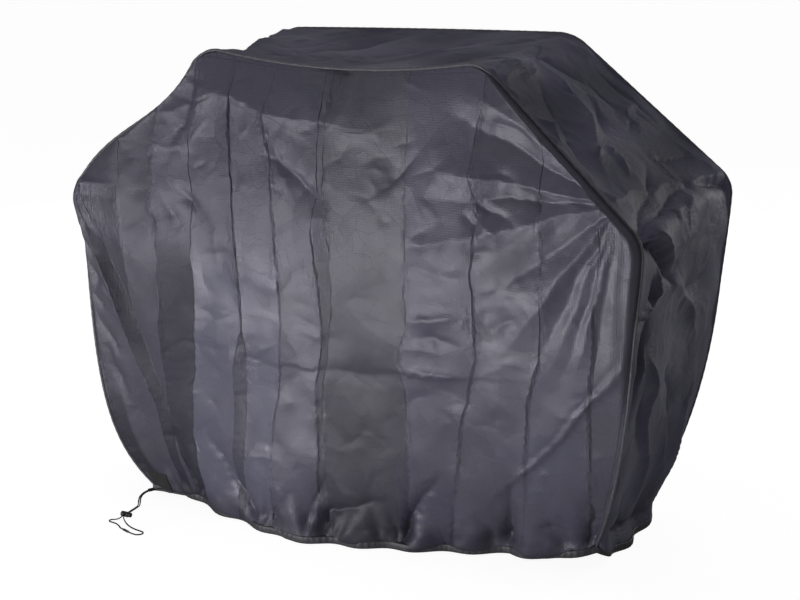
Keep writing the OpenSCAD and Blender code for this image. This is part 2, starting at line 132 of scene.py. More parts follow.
# Places across where the front and the back hem are pinched, and shares of the way from front to back where
# the side hems are; the cloth billows over the hem between them
FRONT_PINCHES = [-0.595, -0.46, -0.235, -0.095, -0.03, 0.09, 0.24, 0.395, 0.55, 0.6]
BACK_PINCHES = np.linspace(-0.6, 0.64, 9)
GUSSET_PINCHES = [0, 0.3, 0.55, 0.85, 1.0]

# Hem tunnel: stations along its lengths, sides of a ring, spacing of its puckers and girth for its map
LONG_HEM_STATIONS = 400
RIGHT_HEM_STATIONS = 120
LEFT_HEM_STATIONS = 150
HEM_SIDES = 20
PUCKER_PITCH = 0.0145
HEM_GIRTH = 0.05

# Corded seams: step along them and girth for their map
PIPING_STEP = 0.004
PIPING_GIRTH = 0.022

# Stitch rows beside the seams, the dip that they pull into the cloth, which is painted with shade, and the
# rows and columns they run on
STITCH_AWAY = 0.009
STITCH_DIP = 0.0028
STITCH_STEP = 0.005
STITCH_LENGTH = 0.0034
STITCH_RADIUS = 0.0005
STITCH_ROWS = slice(4, -3)
STITCH_COLUMNS = slice(4, -4)

# Webbing patch at the outlet, which also paints the shade beside it: its place on the front, its thickness,
# and the lift of its rim and underside
PATCH_TOP = 0.075
PATCH_COLUMNS = slice(4, 16)
PATCH_THICK = 0.0018
PATCH_RIM = 0.0003
PATCH_LIFT = 0.0002

LOCK_NODES = ("lock_barrel", "lock_plunger", "cord_joiner", "lock_spring")
# Middle of the lock's travel, half the stretch on which the cord is taut, and the length in which it swells
LOCK_MIDDLE = -0.348
LOCK_REACH = 0.040
CORD_EASE = 0.025
# Steps along the free cord and along the cord in the hem
CORD_STEP = 0.0012
HEM_CORD_STEP = 0.004
# Stations at each end of the hem that the cord leaves out on its way to the outlet
OUTLET_CLEAR = 12

FLOOR_REACH = 30
# Lights of the stage: place, the point that each one faces, width and height
LIGHTS = {
    "key": ((-1.1, -2.6, 0.09), (0, -0.3, 0.4), 1.5, 0.16),
    "low": ((0, -1.4, 0.07), (0, -0.3, 0.3), 1.4, 0.12),
    "side": ((2.0, 2.6, 1.0), (0.7, 0, 0.5), 0.5, 0.5),
    "top": ((-0.5, -0.6, 3.4), (0, 0, 1.0), 0.8, 0.8),
    "back": ((-1.3, 3.4, 0.35), (-0.2, 0.3, 0.5), 2.4, 0.5),
    "rim": ((0, 4.8, 2.0), (0.3, 0, 0.9), 6.0, 1.6),
}

# Rows and columns of the cloth, and the usual step between two columns of a panel
SIDE_ROWS = 150
CORNER_ROWS = 12
SLOPE_ROWS = 80
TOP_COLUMNS = 120
GUSSET_COLUMNS = 150
FRONT_STEP = 0.0046
BACK_STEP = 0.0075

# The cord's way out of the sleeve, through the lock, round the loop and back
CORD_ROUTE = [
    (-0.600, -0.224, 0.018), (-0.606, -0.235, 0.017), (-0.611, -0.250, 0.014), (-0.609, -0.268, 0.011),
    (-0.600, -0.286, 0.009), (-0.590, -0.302, 0.008), (-0.585, -0.313, 0.0075), (-0.584, -0.325, 0.0075),
    (-0.584, -0.340, 0.0075), (-0.584, -0.356, 0.0075), (-0.584, -0.372, 0.0075), (-0.584, -0.384, 0.0065),
    (-0.588, -0.393, 0.004), (-0.597, -0.397, 0.002), (-0.604, -0.400, 0.0015), (-0.606, -0.406, 0.0015),
    (-0.602, -0.411, 0.0015), (-0.592, -0.413, 0.0015), (-0.578, -0.416, 0.0015), (-0.564, -0.424, 0.0015),
    (-0.554, -0.433, 0.0025), (-0.544, -0.438, 0.0032), (-0.516, -0.448, 0.0032), (-0.505, -0.450, 0.0025),
    (-0.495, -0.449, 0.0015), (-0.487, -0.444, 0.0015), (-0.484, -0.437, 0.0015), (-0.488, -0.430, 0.0015),
    (-0.498, -0.427, 0.0015), (-0.514, -0.424, 0.0015), (-0.532, -0.418, 0.0015), (-0.550, -0.408, 0.0015),
    (-0.565, -0.397, 0.003), (-0.575, -0.388, 0.0055), (-0.580, -0.378, 0.0075), (-0.580, -0.360, 0.0075),
    (-0.580, -0.342, 0.0075), (-0.580, -0.325, 0.0075), (-0.581, -0.312, 0.0075), (-0.586, -0.300, 0.008),
    (-0.596, -0.284, 0.009), (-0.605, -0.267, 0.011), (-0.607, -0.251, 0.014), (-0.602, -0.237, 0.017),
    (-0.596, -0.226, 0.018)]
DRAWCORD_START = [(-0.596, -0.226, 0.018), (-0.591, -0.219, 0.019), (-0.582, -0.222, 0.022)]
DRAWCORD_END = [(-0.600, -0.206, 0.022), (-0.597, -0.214, 0.019), (-0.600, -0.224, 0.018)]

# Webbing sleeve: where it starts, which way it points, half its width and height, and its rings from the
# hem outside, round the mouth and back inside, each as a share of the length and of the size
OUTLET_ROOT = (-0.590, -0.212, 0.018)
OUTLET_TURN = math.radians(-30)
OUTLET_HALF = (0.006, 0.0035)
OUTLET_SIDES = 40
OUTLET_RINGS = [
    (0, 0.94), (0.1, 1), (0.5, 1), (0.9, 1.0), (0.985, 1.0), (1, 0.95), (1, 0.80), (0.97, 0.74), (0.5, 0.72),
    (0.02, 0.72)]

# Packing creases down the front, left to right, each as height, place across and how far it lies back;
# with two depths it is a narrow fold, and they are those of its left and right edge
FRONT_PLEATS = [
    [(0.00, -0.500, 0.002), (0.29, -0.545, 0.000), (0.45, -0.600, -0.003), (0.53, -0.622, -0.004),
     (0.70, -0.682, -0.003), (0.83, -0.724, 0.000), (1.19, -0.750, 0.000)],
    [(0.00, -0.470, 0.004), (0.29, -0.512, 0.009), (0.45, -0.564, 0.011), (0.53, -0.586, 0.011),
     (0.70, -0.650, 0.008), (0.83, -0.712, 0.000), (1.19, -0.740, 0.000)],
    [(0.00, -0.460, 0.002), (0.29, -0.505, 0.005), (0.45, -0.557, 0.007), (0.53, -0.579, 0.004),
     (0.62, -0.588, -0.002), (0.80, -0.596, -0.003), (0.90, -0.590, 0.000), (1.19, -0.600, 0.000)],
    [(0.00, -0.445, 0.000), (0.20, -0.495, -0.008), (0.37, -0.493, -0.012), (0.50, -0.495, -0.012),
     (0.62, -0.490, -0.011), (0.78, -0.485, -0.004), (0.81, -0.500, -0.002), (0.92, -0.495, 0.001),
     (1.03, -0.475, 0.000), (1.19, -0.435, 0.000)],
    [(0.00, -0.405, 0.002), (0.07, -0.410, 0.004), (0.25, -0.430, 0.006), (0.38, -0.420, 0.006),
     (0.53, -0.405, 0.006), (0.62, -0.402, 0.005), (0.70, -0.400, 0.004), (0.83, -0.387, 0.003),
     (0.90, -0.390, 0.003), (1.00, -0.385, 0.003), (1.06, -0.365, 0.004), (1.14, -0.350, 0.003),
     (1.19, -0.345, 0.000)],
    [(0.00, -0.310, 0.002), (0.20, -0.305, -0.003), (0.33, -0.295, -0.004), (0.44, -0.290, -0.004),
     (0.52, -0.276, -0.002), (0.54, -0.268, -0.001), (0.71, -0.270, -0.001), (0.79, -0.275, -0.001),
     (0.89, -0.275, -0.001), (1.01, -0.280, -0.001), (1.07, -0.275, -0.001), (1.15, -0.265, 0.000),
     (1.19, -0.255, 0.000)],
    [(0.00, -0.290, 0.003), (0.13, -0.285, 0.004), (0.22, -0.272, 0.005), (0.35, -0.263, 0.004),
     (0.48, -0.258, 0.002), (0.54, -0.262, 0.000), (0.71, -0.264, 0.000), (0.79, -0.269, 0.000),
     (0.89, -0.269, 0.001), (1.01, -0.274, 0.001), (1.07, -0.269, 0.001), (1.15, -0.259, 0.001),
     (1.19, -0.249, 0.000)],
    [(0.00, -0.208, 0.000, 0.001), (0.06, -0.202, -0.002, 0.002), (0.16, -0.193, -0.004, 0.002),
     (0.31, -0.179, -0.004, 0.001), (0.40, -0.169, -0.003, 0.001), (0.55, -0.158, -0.003, 0.000),
     (0.67, -0.153, -0.004, 0.001), (0.78, -0.157, -0.003, 0.002), (0.88, -0.163, -0.002, 0.002),
     (0.94, -0.168, -0.002, 0.001), (1.00, -0.179, -0.002, 0.001), (1.06, -0.184, -0.002, 0.002),
     (1.13, -0.159, -0.001, 0.001), (1.18, -0.150, 0.000, 0.000)],
    [(0.00, -0.080, 0.001, 0.002), (0.17, -0.072, -0.002, 0.002), (0.25, -0.065, -0.004, 0.001),
     (0.44, -0.063, -0.004, 0.001), (0.50, -0.048, -0.003, 0.001), (0.55, -0.041, -0.002, 0.001),
     (0.68, -0.055, -0.003, 0.002), (0.80, -0.057, -0.002, 0.002), (0.90, -0.045, 0.000, 0.000),
     (1.19, -0.025, 0.000, 0.000)],
    [(0.00, -0.062, 0.000), (0.25, -0.048, 0.000), (0.44, -0.046, 0.000), (0.55, -0.028, 0.001),
     (0.62, -0.015, -0.003), (0.74, -0.015, -0.003), (0.80, -0.018, -0.002), (0.90, -0.030, 0.000),
     (1.19, -0.010, 0.000)],
    [(0.00, 0.126, 0.002, 0.000), (0.25, 0.136, 0.003, 0.000), (0.32, 0.163, 0.004, 0.000),
     (0.44, 0.163, 0.004, 0.000), (0.49, 0.151, 0.002, -0.001), (0.55, 0.155, 0.002, -0.001),
     (0.59, 0.169, 0.002, -0.001), (0.70, 0.175, 0.002, -0.001), (0.78, 0.175, 0.002, -0.001),
     (0.98, 0.175, 0.002, 0.000), (1.05, 0.180, 0.002, 0.000), (1.19, 0.185, 0.000, 0.000)],
    [(0.00, 0.248, 0.000, 0.002), (0.07, 0.256, -0.003, 0.003), (0.22, 0.281, -0.005, 0.003),
     (0.37, 0.306, -0.005, 0.002), (0.49, 0.331, -0.003, 0.002), (0.55, 0.346, -0.002, 0.002),
     (0.67, 0.336, -0.003, 0.002), (0.75, 0.330, -0.002, 0.002), (0.88, 0.351, -0.001, 0.001),
     (0.96, 0.331, -0.001, 0.001), (1.03, 0.341, -0.001, 0.001), (1.12, 0.360, 0.000, 0.001),
     (1.19, 0.360, 0.000, 0.000)],
    [(0.00, 0.415, 0.000, 0.002), (0.09, 0.430, -0.003, 0.003), (0.21, 0.450, -0.006, 0.004),
     (0.34, 0.460, -0.006, 0.004), (0.46, 0.470, -0.005, 0.003), (0.55, 0.490, -0.003, 0.002),
     (0.66, 0.503, -0.001, 0.001), (0.75, 0.497, 0.000, 0.000), (1.19, 0.495, 0.000, 0.000)],
    [(0.00, 0.567, 0.000, 0.001), (0.22, 0.607, -0.002, 0.003), (0.38, 0.608, -0.005, 0.004),
     (0.46, 0.608, -0.005, 0.004), (0.60, 0.618, -0.004, 0.003), (0.71, 0.620, -0.002, 0.002),
     (0.80, 0.631, 0.000, 0.000), (1.19, 0.625, 0.000, 0.000)],
]

# Packing creases down the back, an even set: how far out the outer two are, how far each one leans, the
# heights of its points, how much it is drawn in at the top, and the two depths that take turns
BACK_PLEAT_REACH = 0.66
BACK_PLEAT_LEAN = 0.01
BACK_PLEAT_HEIGHTS = (0.0, 0.6, 1.19)
BACK_PLEAT_DRAW = 0.8
BACK_PLEAT_DEPTHS = (0.001, 0.010)

# Painted light of each strip between packing creases, from left to right: how far it is painted with sheen
# (1) or shade (0), and how warm its painted sheen tint is (0 blue, 1 grey)
FRONT_STRIP_LIGHT = [
    (0.55, 0.7), (0.0, 0.4), (0.5, 0.8), (0.65, 0.7), (0.0, 0.0), (1.0, 0.0), (0.4, 0.2), (1.0, 0.0),
    (0.75, 0.3), (0.3, 0.8), (0.55, 1.0), (0.7, 0.1), (0.9, 0.5), (0.9, 0.2), (0.8, 0.6)]
BACK_STRIP_LIGHT = [
    (0.7, 0.3), (0.6, 0.6), (0.8, 0.2), (0.65, 0.7), (0.7, 0.4), (0.6, 0.2), (0.75, 0.8), (0.7, 0.3),
    (0.8, 0.5), (0.6, 0.2), (0.75, 0.6), (0.65, 0.3), (0.7, 0.7), (0.6, 0.4)]
# Even painted light of the front above its strips, painted lighter to the right: its level left of the
# middle, what it gains to the right and over what width, the height up to which the strips' own painted light
# holds and how far above it it has given way
EVEN_TONE = 0.60
EVEN_TONE_GAIN = 0.22
EVEN_TONE_WIDTH = 0.4
STRIPS_TOP = 0.65
STRIPS_FADE = 0.15
# Parts of the front painted with shade: a block, as its left and right edge, its top, the height in which it
# sets in and the share of the painted light that it takes; the cloth over the hem, as the last three; and the
# low left edge, as its top, the height in which it sets in, its width and the width in which it fades
DARK_BLOCK = (-0.045, 0.165, 0.445, 0.03, 0.6)
DARK_HEM = (0.10, 0.08, 0.65)
DARK_EDGE = (0.34, 0.1, 0.056, 0.012)

# Other front folds: the line as places across and heights, its depths along it (back is positive),
# and how wide its two flanks are, first on the left of the line's direction
FRONT_CREASES = [
    # Diagonal from the eighth packing crease down to the tenth
    ([(-0.175, 1.005), (-0.140, 0.950), (-0.090, 0.905), (-0.040, 0.850), (-0.025, 0.815)],
     (0, 0.007, 0.006, 0), 0.012, 0.030),
    ([(-0.170, 0.960), (-0.130, 0.910), (-0.110, 0.860)], (0, -0.003, 0), 0.012, 0.012),
    # Fold from the dip of the top edge, down to the left
    ([(0.020, 1.155), (-0.005, 1.090), (-0.045, 1.010)], (0.010, 0.008, 0), 0.012, 0.040),
    ([(0.045, 1.140), (0.030, 1.070), (0.000, 1.030)], (-0.006, -0.004, 0), 0.020, 0.015),
    # Short diagonal right of the middle
    ([(0.215, 0.995), (0.150, 0.925), (0.070, 0.865)], (0, 0.007, 0), 0.010, 0.030),
    # Cross folds between the eleventh and twelfth packing creases
    ([(0.165, 0.775), (0.240, 0.785), (0.330, 0.830)], (0, -0.006, -0.004, 0), 0.030, 0.014),
    ([(0.170, 0.740), (0.250, 0.720), (0.335, 0.715)], (0, 0.004, 0), 0.020, 0.020),
    ([(0.165, 0.605), (0.240, 0.622), (0.325, 0.640)], (0, -0.007, -0.005, 0), 0.010, 0.028),
    ([(0.180, 0.555), (0.240, 0.575), (0.320, 0.560)], (0, 0.004, 0), 0.020, 0.016),
    ([(0.160, 0.525), (0.220, 0.545), (0.260, 0.530)], (0, -0.004, 0), 0.012, 0.016),
    ([(0.155, 0.478), (0.240, 0.490), (0.335, 0.482)], (0, -0.006, -0.006, 0), 0.014, 0.022),
    # Top of the darker block between the tenth and eleventh packing creases, set back
    ([(-0.045, 0.456), (0.040, 0.462), (0.145, 0.470)], (0.004, 0.007, 0.005), 0.022, 0.120),
    # Long diagonal fold from the right seam down towards the hem
    ([(0.712, 0.590), (0.640, 0.495), (0.550, 0.385), (0.495, 0.320), (0.415, 0.225), (0.340, 0.150)],
     (-0.003, -0.007, -0.007, -0.006, 0), 0.007, 0.040),
    ([(0.690, 0.600), (0.600, 0.470), (0.500, 0.350), (0.420, 0.255)], (0, 0.004, 0.003, 0), 0.030, 0.010),
    # Dark wedge below the fan
    ([(0.345, 0.690), (0.420, 0.715), (0.500, 0.760)], (0, -0.006, -0.006, 0), 0.030, 0.070),
    ([(0.345, 0.560), (0.400, 0.620), (0.470, 0.670)], (0, 0.009, 0.006, 0), 0.060, 0.020),
    # Pulls from the left shoulder and slope, and short folds right of them
    ([(-0.705, 0.835), (-0.640, 0.810), (-0.590, 0.780)], (0.004, 0.005, 0), 0.012, 0.020),
    ([(-0.580, 0.960), (-0.540, 0.900), (-0.530, 0.800)], (0.004, 0.005, 0), 0.014, 0.014),
    ([(-0.470, 0.860), (-0.440, 0.790), (-0.415, 0.735)], (0, 0.006, 0), 0.012, 0.016),
    ([(-0.430, 0.870), (-0.385, 0.830), (-0.350, 0.780), (-0.320, 0.760)],
     (0, 0.006, 0.004, 0), 0.014, 0.016),
    ([(-0.385, 0.690), (-0.330, 0.705), (-0.275, 0.712)], (0, 0.003, 0.004, 0), 0.010, 0.016),
    ([(-0.400, 0.470), (-0.350, 0.465), (-0.300, 0.462)], (0, 0.002, 0), 0.010, 0.012),
    ([(-0.270, 0.452), (-0.220, 0.455), (-0.170, 0.448)], (0, 0.003, 0), 0.012, 0.012),
    # Dark slope corner at the top left
    ([(-0.365, 1.120), (-0.375, 1.060), (-0.400, 1.010)], (0.006, 0.010, 0.004), 0.006, 0.060),
    ([(-0.480, 1.030), (-0.430, 1.035), (-0.375, 1.060)], (0, -0.005, -0.006), 0.050, 0.020),
    # Scalloped lower edge of the rolled top
    ([(-0.365, 1.045), (-0.315, 1.085), (-0.270, 1.090), (-0.220, 1.075), (-0.185, 1.055)],
     (-0.003, -0.006, -0.006, -0.004), 0.060, 0.022),
    ([(-0.175, 1.050), (-0.100, 1.035), (-0.050, 1.035)], (-0.003, -0.006, -0.003), 0.070, 0.022),
    ([(-0.005, 1.030), (0.050, 1.025), (0.095, 1.027), (0.150, 1.060)],
     (-0.003, -0.005, -0.004, 0), 0.070, 0.022),
    # Knot of small folds on the twelfth packing crease and right of it
    ([(0.335, 0.905), (0.370, 0.880), (0.420, 0.865), (0.460, 0.840)], (0, 0.007, 0.005, 0), 0.012, 0.018),
    ([(0.330, 0.860), (0.365, 0.852), (0.410, 0.820)], (0, -0.006, 0), 0.012, 0.012),
    ([(0.310, 0.880), (0.345, 0.850), (0.350, 0.800)], (0, 0.008, 0), 0.012, 0.014),
    ([(0.310, 0.800), (0.340, 0.780), (0.390, 0.795)], (0, 0.006, 0), 0.012, 0.014),
    ([(0.355, 1.075), (0.420, 1.060), (0.480, 1.030)], (0, 0.005, 0.004, 0), 0.014, 0.026),
    ([(0.360, 0.960), (0.420, 0.955), (0.485, 0.920)], (0, 0.008, 0.006, 0), 0.020, 0.030),
    ([(0.475, 0.955), (0.490, 0.900), (0.480, 0.850)], (0, 0.006, 0), 0.010, 0.014),
    # Puckers on the left seam, one above the other
    ([(-0.705, 0.760), (-0.690, 0.735), (-0.672, 0.725)], (0.003, 0.004, 0), 0.008, 0.010),
    ([(-0.700, 0.690), (-0.684, 0.665), (-0.665, 0.660)], (0.003, 0.004, 0), 0.008, 0.010),
    ([(-0.695, 0.630), (-0.678, 0.600), (-0.655, 0.598)], (0.003, 0.004, 0), 0.008, 0.010),
    ([(-0.690, 0.560), (-0.668, 0.535), (-0.640, 0.530)], (0.003, 0.005, 0), 0.010, 0.012),
    ([(-0.685, 0.490), (-0.655, 0.450), (-0.630, 0.400)], (0.003, 0.006, 0), 0.012, 0.012),
    ([(-0.675, 0.420), (-0.645, 0.340), (-0.625, 0.260)], (0.004, 0.008, 0.003), 0.014, 0.014),
    # Gathers that run up from the hem, and a fold across between the last two
    ([(-0.240, 0.015), (-0.300, 0.100), (-0.360, 0.200), (-0.400, 0.270)],
     (0.024, 0.016, 0.008, 0), 0.016, 0.030),
    ([(-0.440, 0.020), (-0.470, 0.120), (-0.495, 0.230)], (0.012, 0.010, 0), 0.014, 0.020),
    ([(-0.205, 0.015), (-0.190, 0.070), (-0.130, 0.140)], (0.016, 0.008, 0), 0.014, 0.016),
    ([(-0.060, 0.015), (-0.050, 0.070), (0.030, 0.105), (0.105, 0.150)],
     (0.026, 0.018, 0.010, 0), 0.018, 0.020),
    ([(-0.100, 0.020), (-0.085, 0.100), (-0.030, 0.190)], (0.010, 0.010, 0), 0.014, 0.020),
    ([(0.130, 0.012), (0.150, 0.080), (0.230, 0.190), (0.260, 0.235)],
     (0.034, 0.022, 0.010, 0), 0.014, 0.022),
    ([(0.125, 0.015), (0.110, 0.090), (0.100, 0.150)], (0.014, 0.008, 0), 0.014, 0.014),
    ([(0.260, 0.015), (0.262, 0.100), (0.275, 0.200)], (0.010, 0.006, 0), 0.014, 0.018),
    ([(0.375, 0.015), (0.390, 0.070), (0.405, 0.160), (0.425, 0.250)],
     (0.036, 0.020, 0.010, 0), 0.016, 0.024),
    ([(0.350, 0.015), (0.345, 0.080), (0.310, 0.130)], (0.020, 0.010, 0), 0.020, 0.014),
    ([(0.575, 0.040), (0.580, 0.090), (0.600, 0.170), (0.615, 0.260)],
     (0.040, 0.024, 0.012, 0), 0.018, 0.024),
    ([(0.540, 0.030), (0.520, 0.080), (0.470, 0.120)], (0.018, 0.010, 0), 0.020, 0.018),
    ([(0.455, 0.110), (0.500, 0.128), (0.550, 0.105)], (0, 0.010, 0), 0.010, 0.050),
]

# Folds of the gusset, in the same way, as length along it from the middle of the top and place from front
# to back; those wholly right of the middle are repeated on the left half, turned round
GUSSET_CREASES = [
    # Folds that meet at the top of the slope
    ([(0.390, 0.040), (0.385, -0.150), (0.385, -0.300)], (0, -0.007, -0.005), 0.015, 0.015),
    ([(0.395, 0.000), (0.400, -0.120), (0.400, -0.240)], (0, 0.006, 0), 0.008, 0.008),
    ([(0.395, 0.020), (0.410, -0.150), (0.420, -0.270)], (0, -0.008, -0.006), 0.008, 0.020),
    ([(0.400, 0.000), (0.420, -0.120), (0.440, -0.170)], (0, -0.006, 0), 0.010, 0.010),
    ([(0.330, 0.200), (0.380, 0.060), (0.440, 0.100), (0.505, 0.120), (0.535, 0.120)],
     (0, 0.006, 0.008, 0.006, 0), 0.020, 0.012),
    # Broad ridge down the slope, with a dark hollow in front of it
    ([(0.400, 0.030), (0.500, -0.010), (0.570, -0.050), (0.630, -0.110), (0.675, -0.170), (0.750, -0.250)],
     (0, -0.010, -0.012, -0.010, -0.006, 0), 0.050, 0.028),
    ([(0.430, -0.080), (0.520, -0.140), (0.630, -0.215), (0.710, -0.270)],
     (0, 0.011, 0.011, 0), 0.026, 0.030),
    ([(0.490, -0.110), (0.540, -0.150), (0.585, -0.195), (0.665, -0.205)],
     (0, -0.006, -0.006, 0), 0.010, 0.012),
    ([(0.455, -0.025), (0.510, -0.020), (0.580, -0.030)], (0, 0.005, 0), 0.007, 0.007),
    ([(0.490, 0.130), (0.550, 0.140), (0.600, 0.140)], (0, 0.006, 0), 0.014, 0.010),
    ([(0.550, 0.070), (0.610, 0.050), (0.660, -0.030)], (0, 0.009, 0.006, 0), 0.012, 0.036),
    ([(0.680, -0.180), (0.650, -0.120)], (0, -0.008, 0), 0.008, 0.012),
    ([(0.685, -0.110), (0.660, -0.060)], (0, -0.006, 0), 0.008, 0.010),
    ([(0.660, -0.050), (0.755, -0.120)], (0, -0.006, 0), 0.010, 0.015),
    ([(0.610, 0.120), (0.605, 0.200), (0.620, 0.280)], (0, -0.006, -0.004, 0), 0.010, 0.012),
    ([(0.645, 0.110), (0.640, 0.200)], (0, 0.005, 0), 0.010, 0.010),
    ([(0.700, 0.070), (0.740, 0.090), (0.795, 0.270)], (0, 0.006, 0.005, 0), 0.010, 0.018),
    ([(0.480, 0.230), (0.560, 0.250), (0.680, 0.255)], (0, 0.004, 0.004, 0), 0.008, 0.008),
    # Pucker at the front seam
    ([(0.520, -0.280), (0.555, -0.250), (0.600, -0.270)], (0, -0.010, 0), 0.010, 0.014),
    ([(0.580, -0.300), (0.605, -0.280)], (0.012, 0), 0.008, 0.008),
    # Fold line of the shoulder and the facets round it
    ([(0.770, -0.280), (0.795, -0.060), (0.825, 0.120), (0.860, 0.310)],
     (-0.005, -0.007, -0.008, -0.005), 0.016, 0.016),
    ([(0.790, -0.050), (0.830, -0.170), (0.875, -0.310)], (0.002, 0.009, 0.006), 0.016, 0.024),
    ([(0.825, 0.130), (0.860, -0.190), (0.880, -0.310)], (0.002, 0.010, 0.008), 0.010, 0.026),
    ([(0.825, 0.130), (0.860, 0.220), (0.890, 0.310)], (0.004, 0.011, 0.008), 0.018, 0.018),
    ([(0.740, 0.045), (0.780, -0.040), (0.815, -0.140)], (0, 0.006, 0), 0.012, 0.012),
    ([(0.765, 0.070), (0.825, 0.115)], (0, 0.009), 0.012, 0.012),
    ([(0.830, 0.130), (0.895, 0.030), (0.950, 0.010)], (0.002, -0.007, 0), 0.010, 0.014),
    ([(0.840, -0.080), (0.870, -0.020), (0.880, 0.050)], (0, -0.006, 0), 0.010, 0.016),
    # Deep fold from the front of the shoulder, its overhanging lip and its tail
    ([(0.885, -0.300), (0.905, -0.215), (0.960, -0.140), (1.010, -0.080), (1.055, -0.030)],
     (0.006, 0.022, 0.020, 0.016, 0), 0.007, 0.030),
    ([(0.880, -0.270), (0.895, -0.195), (0.950, -0.120), (1.000, -0.060)],
     (0, -0.012, -0.012, 0), 0.030, 0.008),
    ([(1.055, -0.030), (1.140, 0.120), (1.200, 0.150), (1.260, 0.210)],
     (-0.004, -0.008, -0.007, 0), 0.018, 0.018),
    # Bright curved ridge below it, dark underneath
    ([(0.975, -0.165), (1.030, -0.175), (1.050, -0.205), (1.060, -0.300)],
     (0, -0.013, -0.014, -0.006), 0.016, 0.007),
    ([(0.990, -0.195), (1.040, -0.200), (1.075, -0.230), (1.080, -0.300)],
     (0, 0.014, 0.014, 0.008), 0.007, 0.018),
    # Wide black fold down the front edge
    ([(1.085, -0.200), (1.120, -0.230), (1.180, -0.255), (1.260, -0.255), (1.340, -0.265)],
     (0.004, 0.022, 0.024, 0.016, 0), 0.014, 0.010),
    ([(1.130, -0.200), (1.185, -0.230), (1.260, -0.235)], (0, -0.008, 0), 0.012, 0.006),
    # Upright ridge, and the diagonal one behind it
    ([(1.170, -0.190), (1.285, -0.115), (1.310, -0.135), (1.355, -0.130), (1.450, -0.060), (1.600, -0.010)],
     (0, -0.011, -0.011, -0.010, -0.008, 0), 0.024, 0.010),
    ([(1.200, -0.200), (1.320, -0.160), (1.430, -0.110)], (0, 0.008, 0), 0.008, 0.020),
    ([(1.335, 0.220), (1.405, 0.195), (1.495, 0.170), (1.575, 0.160), (1.650, 0.160)],
     (-0.003, -0.013, -0.015, -0.010, 0), 0.012, 0.050),
    ([(0.955, -0.110), (0.950, 0.020), (0.965, 0.120)], (0, -0.009, -0.006, 0), 0.026, 0.030),
    ([(1.090, 0.020), (1.100, 0.150), (1.080, 0.260)], (0, 0.008, 0.006, 0), 0.030, 0.018),
    ([(1.240, -0.020), (1.330, 0.060), (1.440, 0.080)], (0, 0.009, 0.008, 0), 0.030, 0.024),
    # Fold above the hem
    ([(1.620, -0.140), (1.655, 0.010), (1.650, 0.120)], (0.006, 0.012, 0.006), 0.014, 0.020),
    ([(1.520, -0.130), (1.600, -0.100), (1.650, -0.040)], (0, 0.010, 0.008), 0.016, 0.016),
    # Long shallow folds on the top, drawn to its back right corner
    ([(-0.310, -0.190), (-0.235, -0.100), (-0.180, 0.000), (0.000, 0.250)],
     (0, 0.005, 0.006, 0), 0.020, 0.014),
    ([(-0.200, -0.250), (-0.050, -0.100), (0.100, 0.120), (0.250, 0.240)],
     (0, 0.005, 0.006, 0), 0.030, 0.020),
    ([(-0.020, -0.200), (0.130, 0.000), (0.260, 0.180)], (0, -0.005, 0), 0.024, 0.018),
    ([(0.120, -0.240), (0.230, -0.060), (0.330, 0.080)], (0, 0.005, 0), 0.024, 0.020),
    ([(0.200, 0.120), (0.270, 0.180), (0.320, 0.270)], (0, 0.006, 0), 0.012, 0.014),
]

# Fan of folds from the right front shoulder: angle below straight across in degrees, and how far back
FAN_CENTRE = (0.672, 0.922)
FAN_FOLDS = [
    (-42, 0.0), (-32, -0.3), (-22, 1.0), (-5, -1.0), (4, 0.5), (17, -0.7), (39, 1.0), (54, -0.8), (63, 0.4),
    (68, -0.2), (73, 0.25), (77, -0.25), (82, 0.3), (87, -0.15), (92, 0.15), (100, 0.0)]
FAN_SLOPE = 0.040
FAN_REACH = 0.33


def mix(a, b, t):
    return a + (b - a) * t


def smooth(t):
    t = np.clip(t, 0, 1)
    return t * t * (3 - 2 * t)


def flat_top(u):
    return 1 - np.abs(u) ** CORNER_POWER


def unit(v):
    return v / np.maximum(np.linalg.norm(v, axis=-1, keepdims=True), 1e-12)


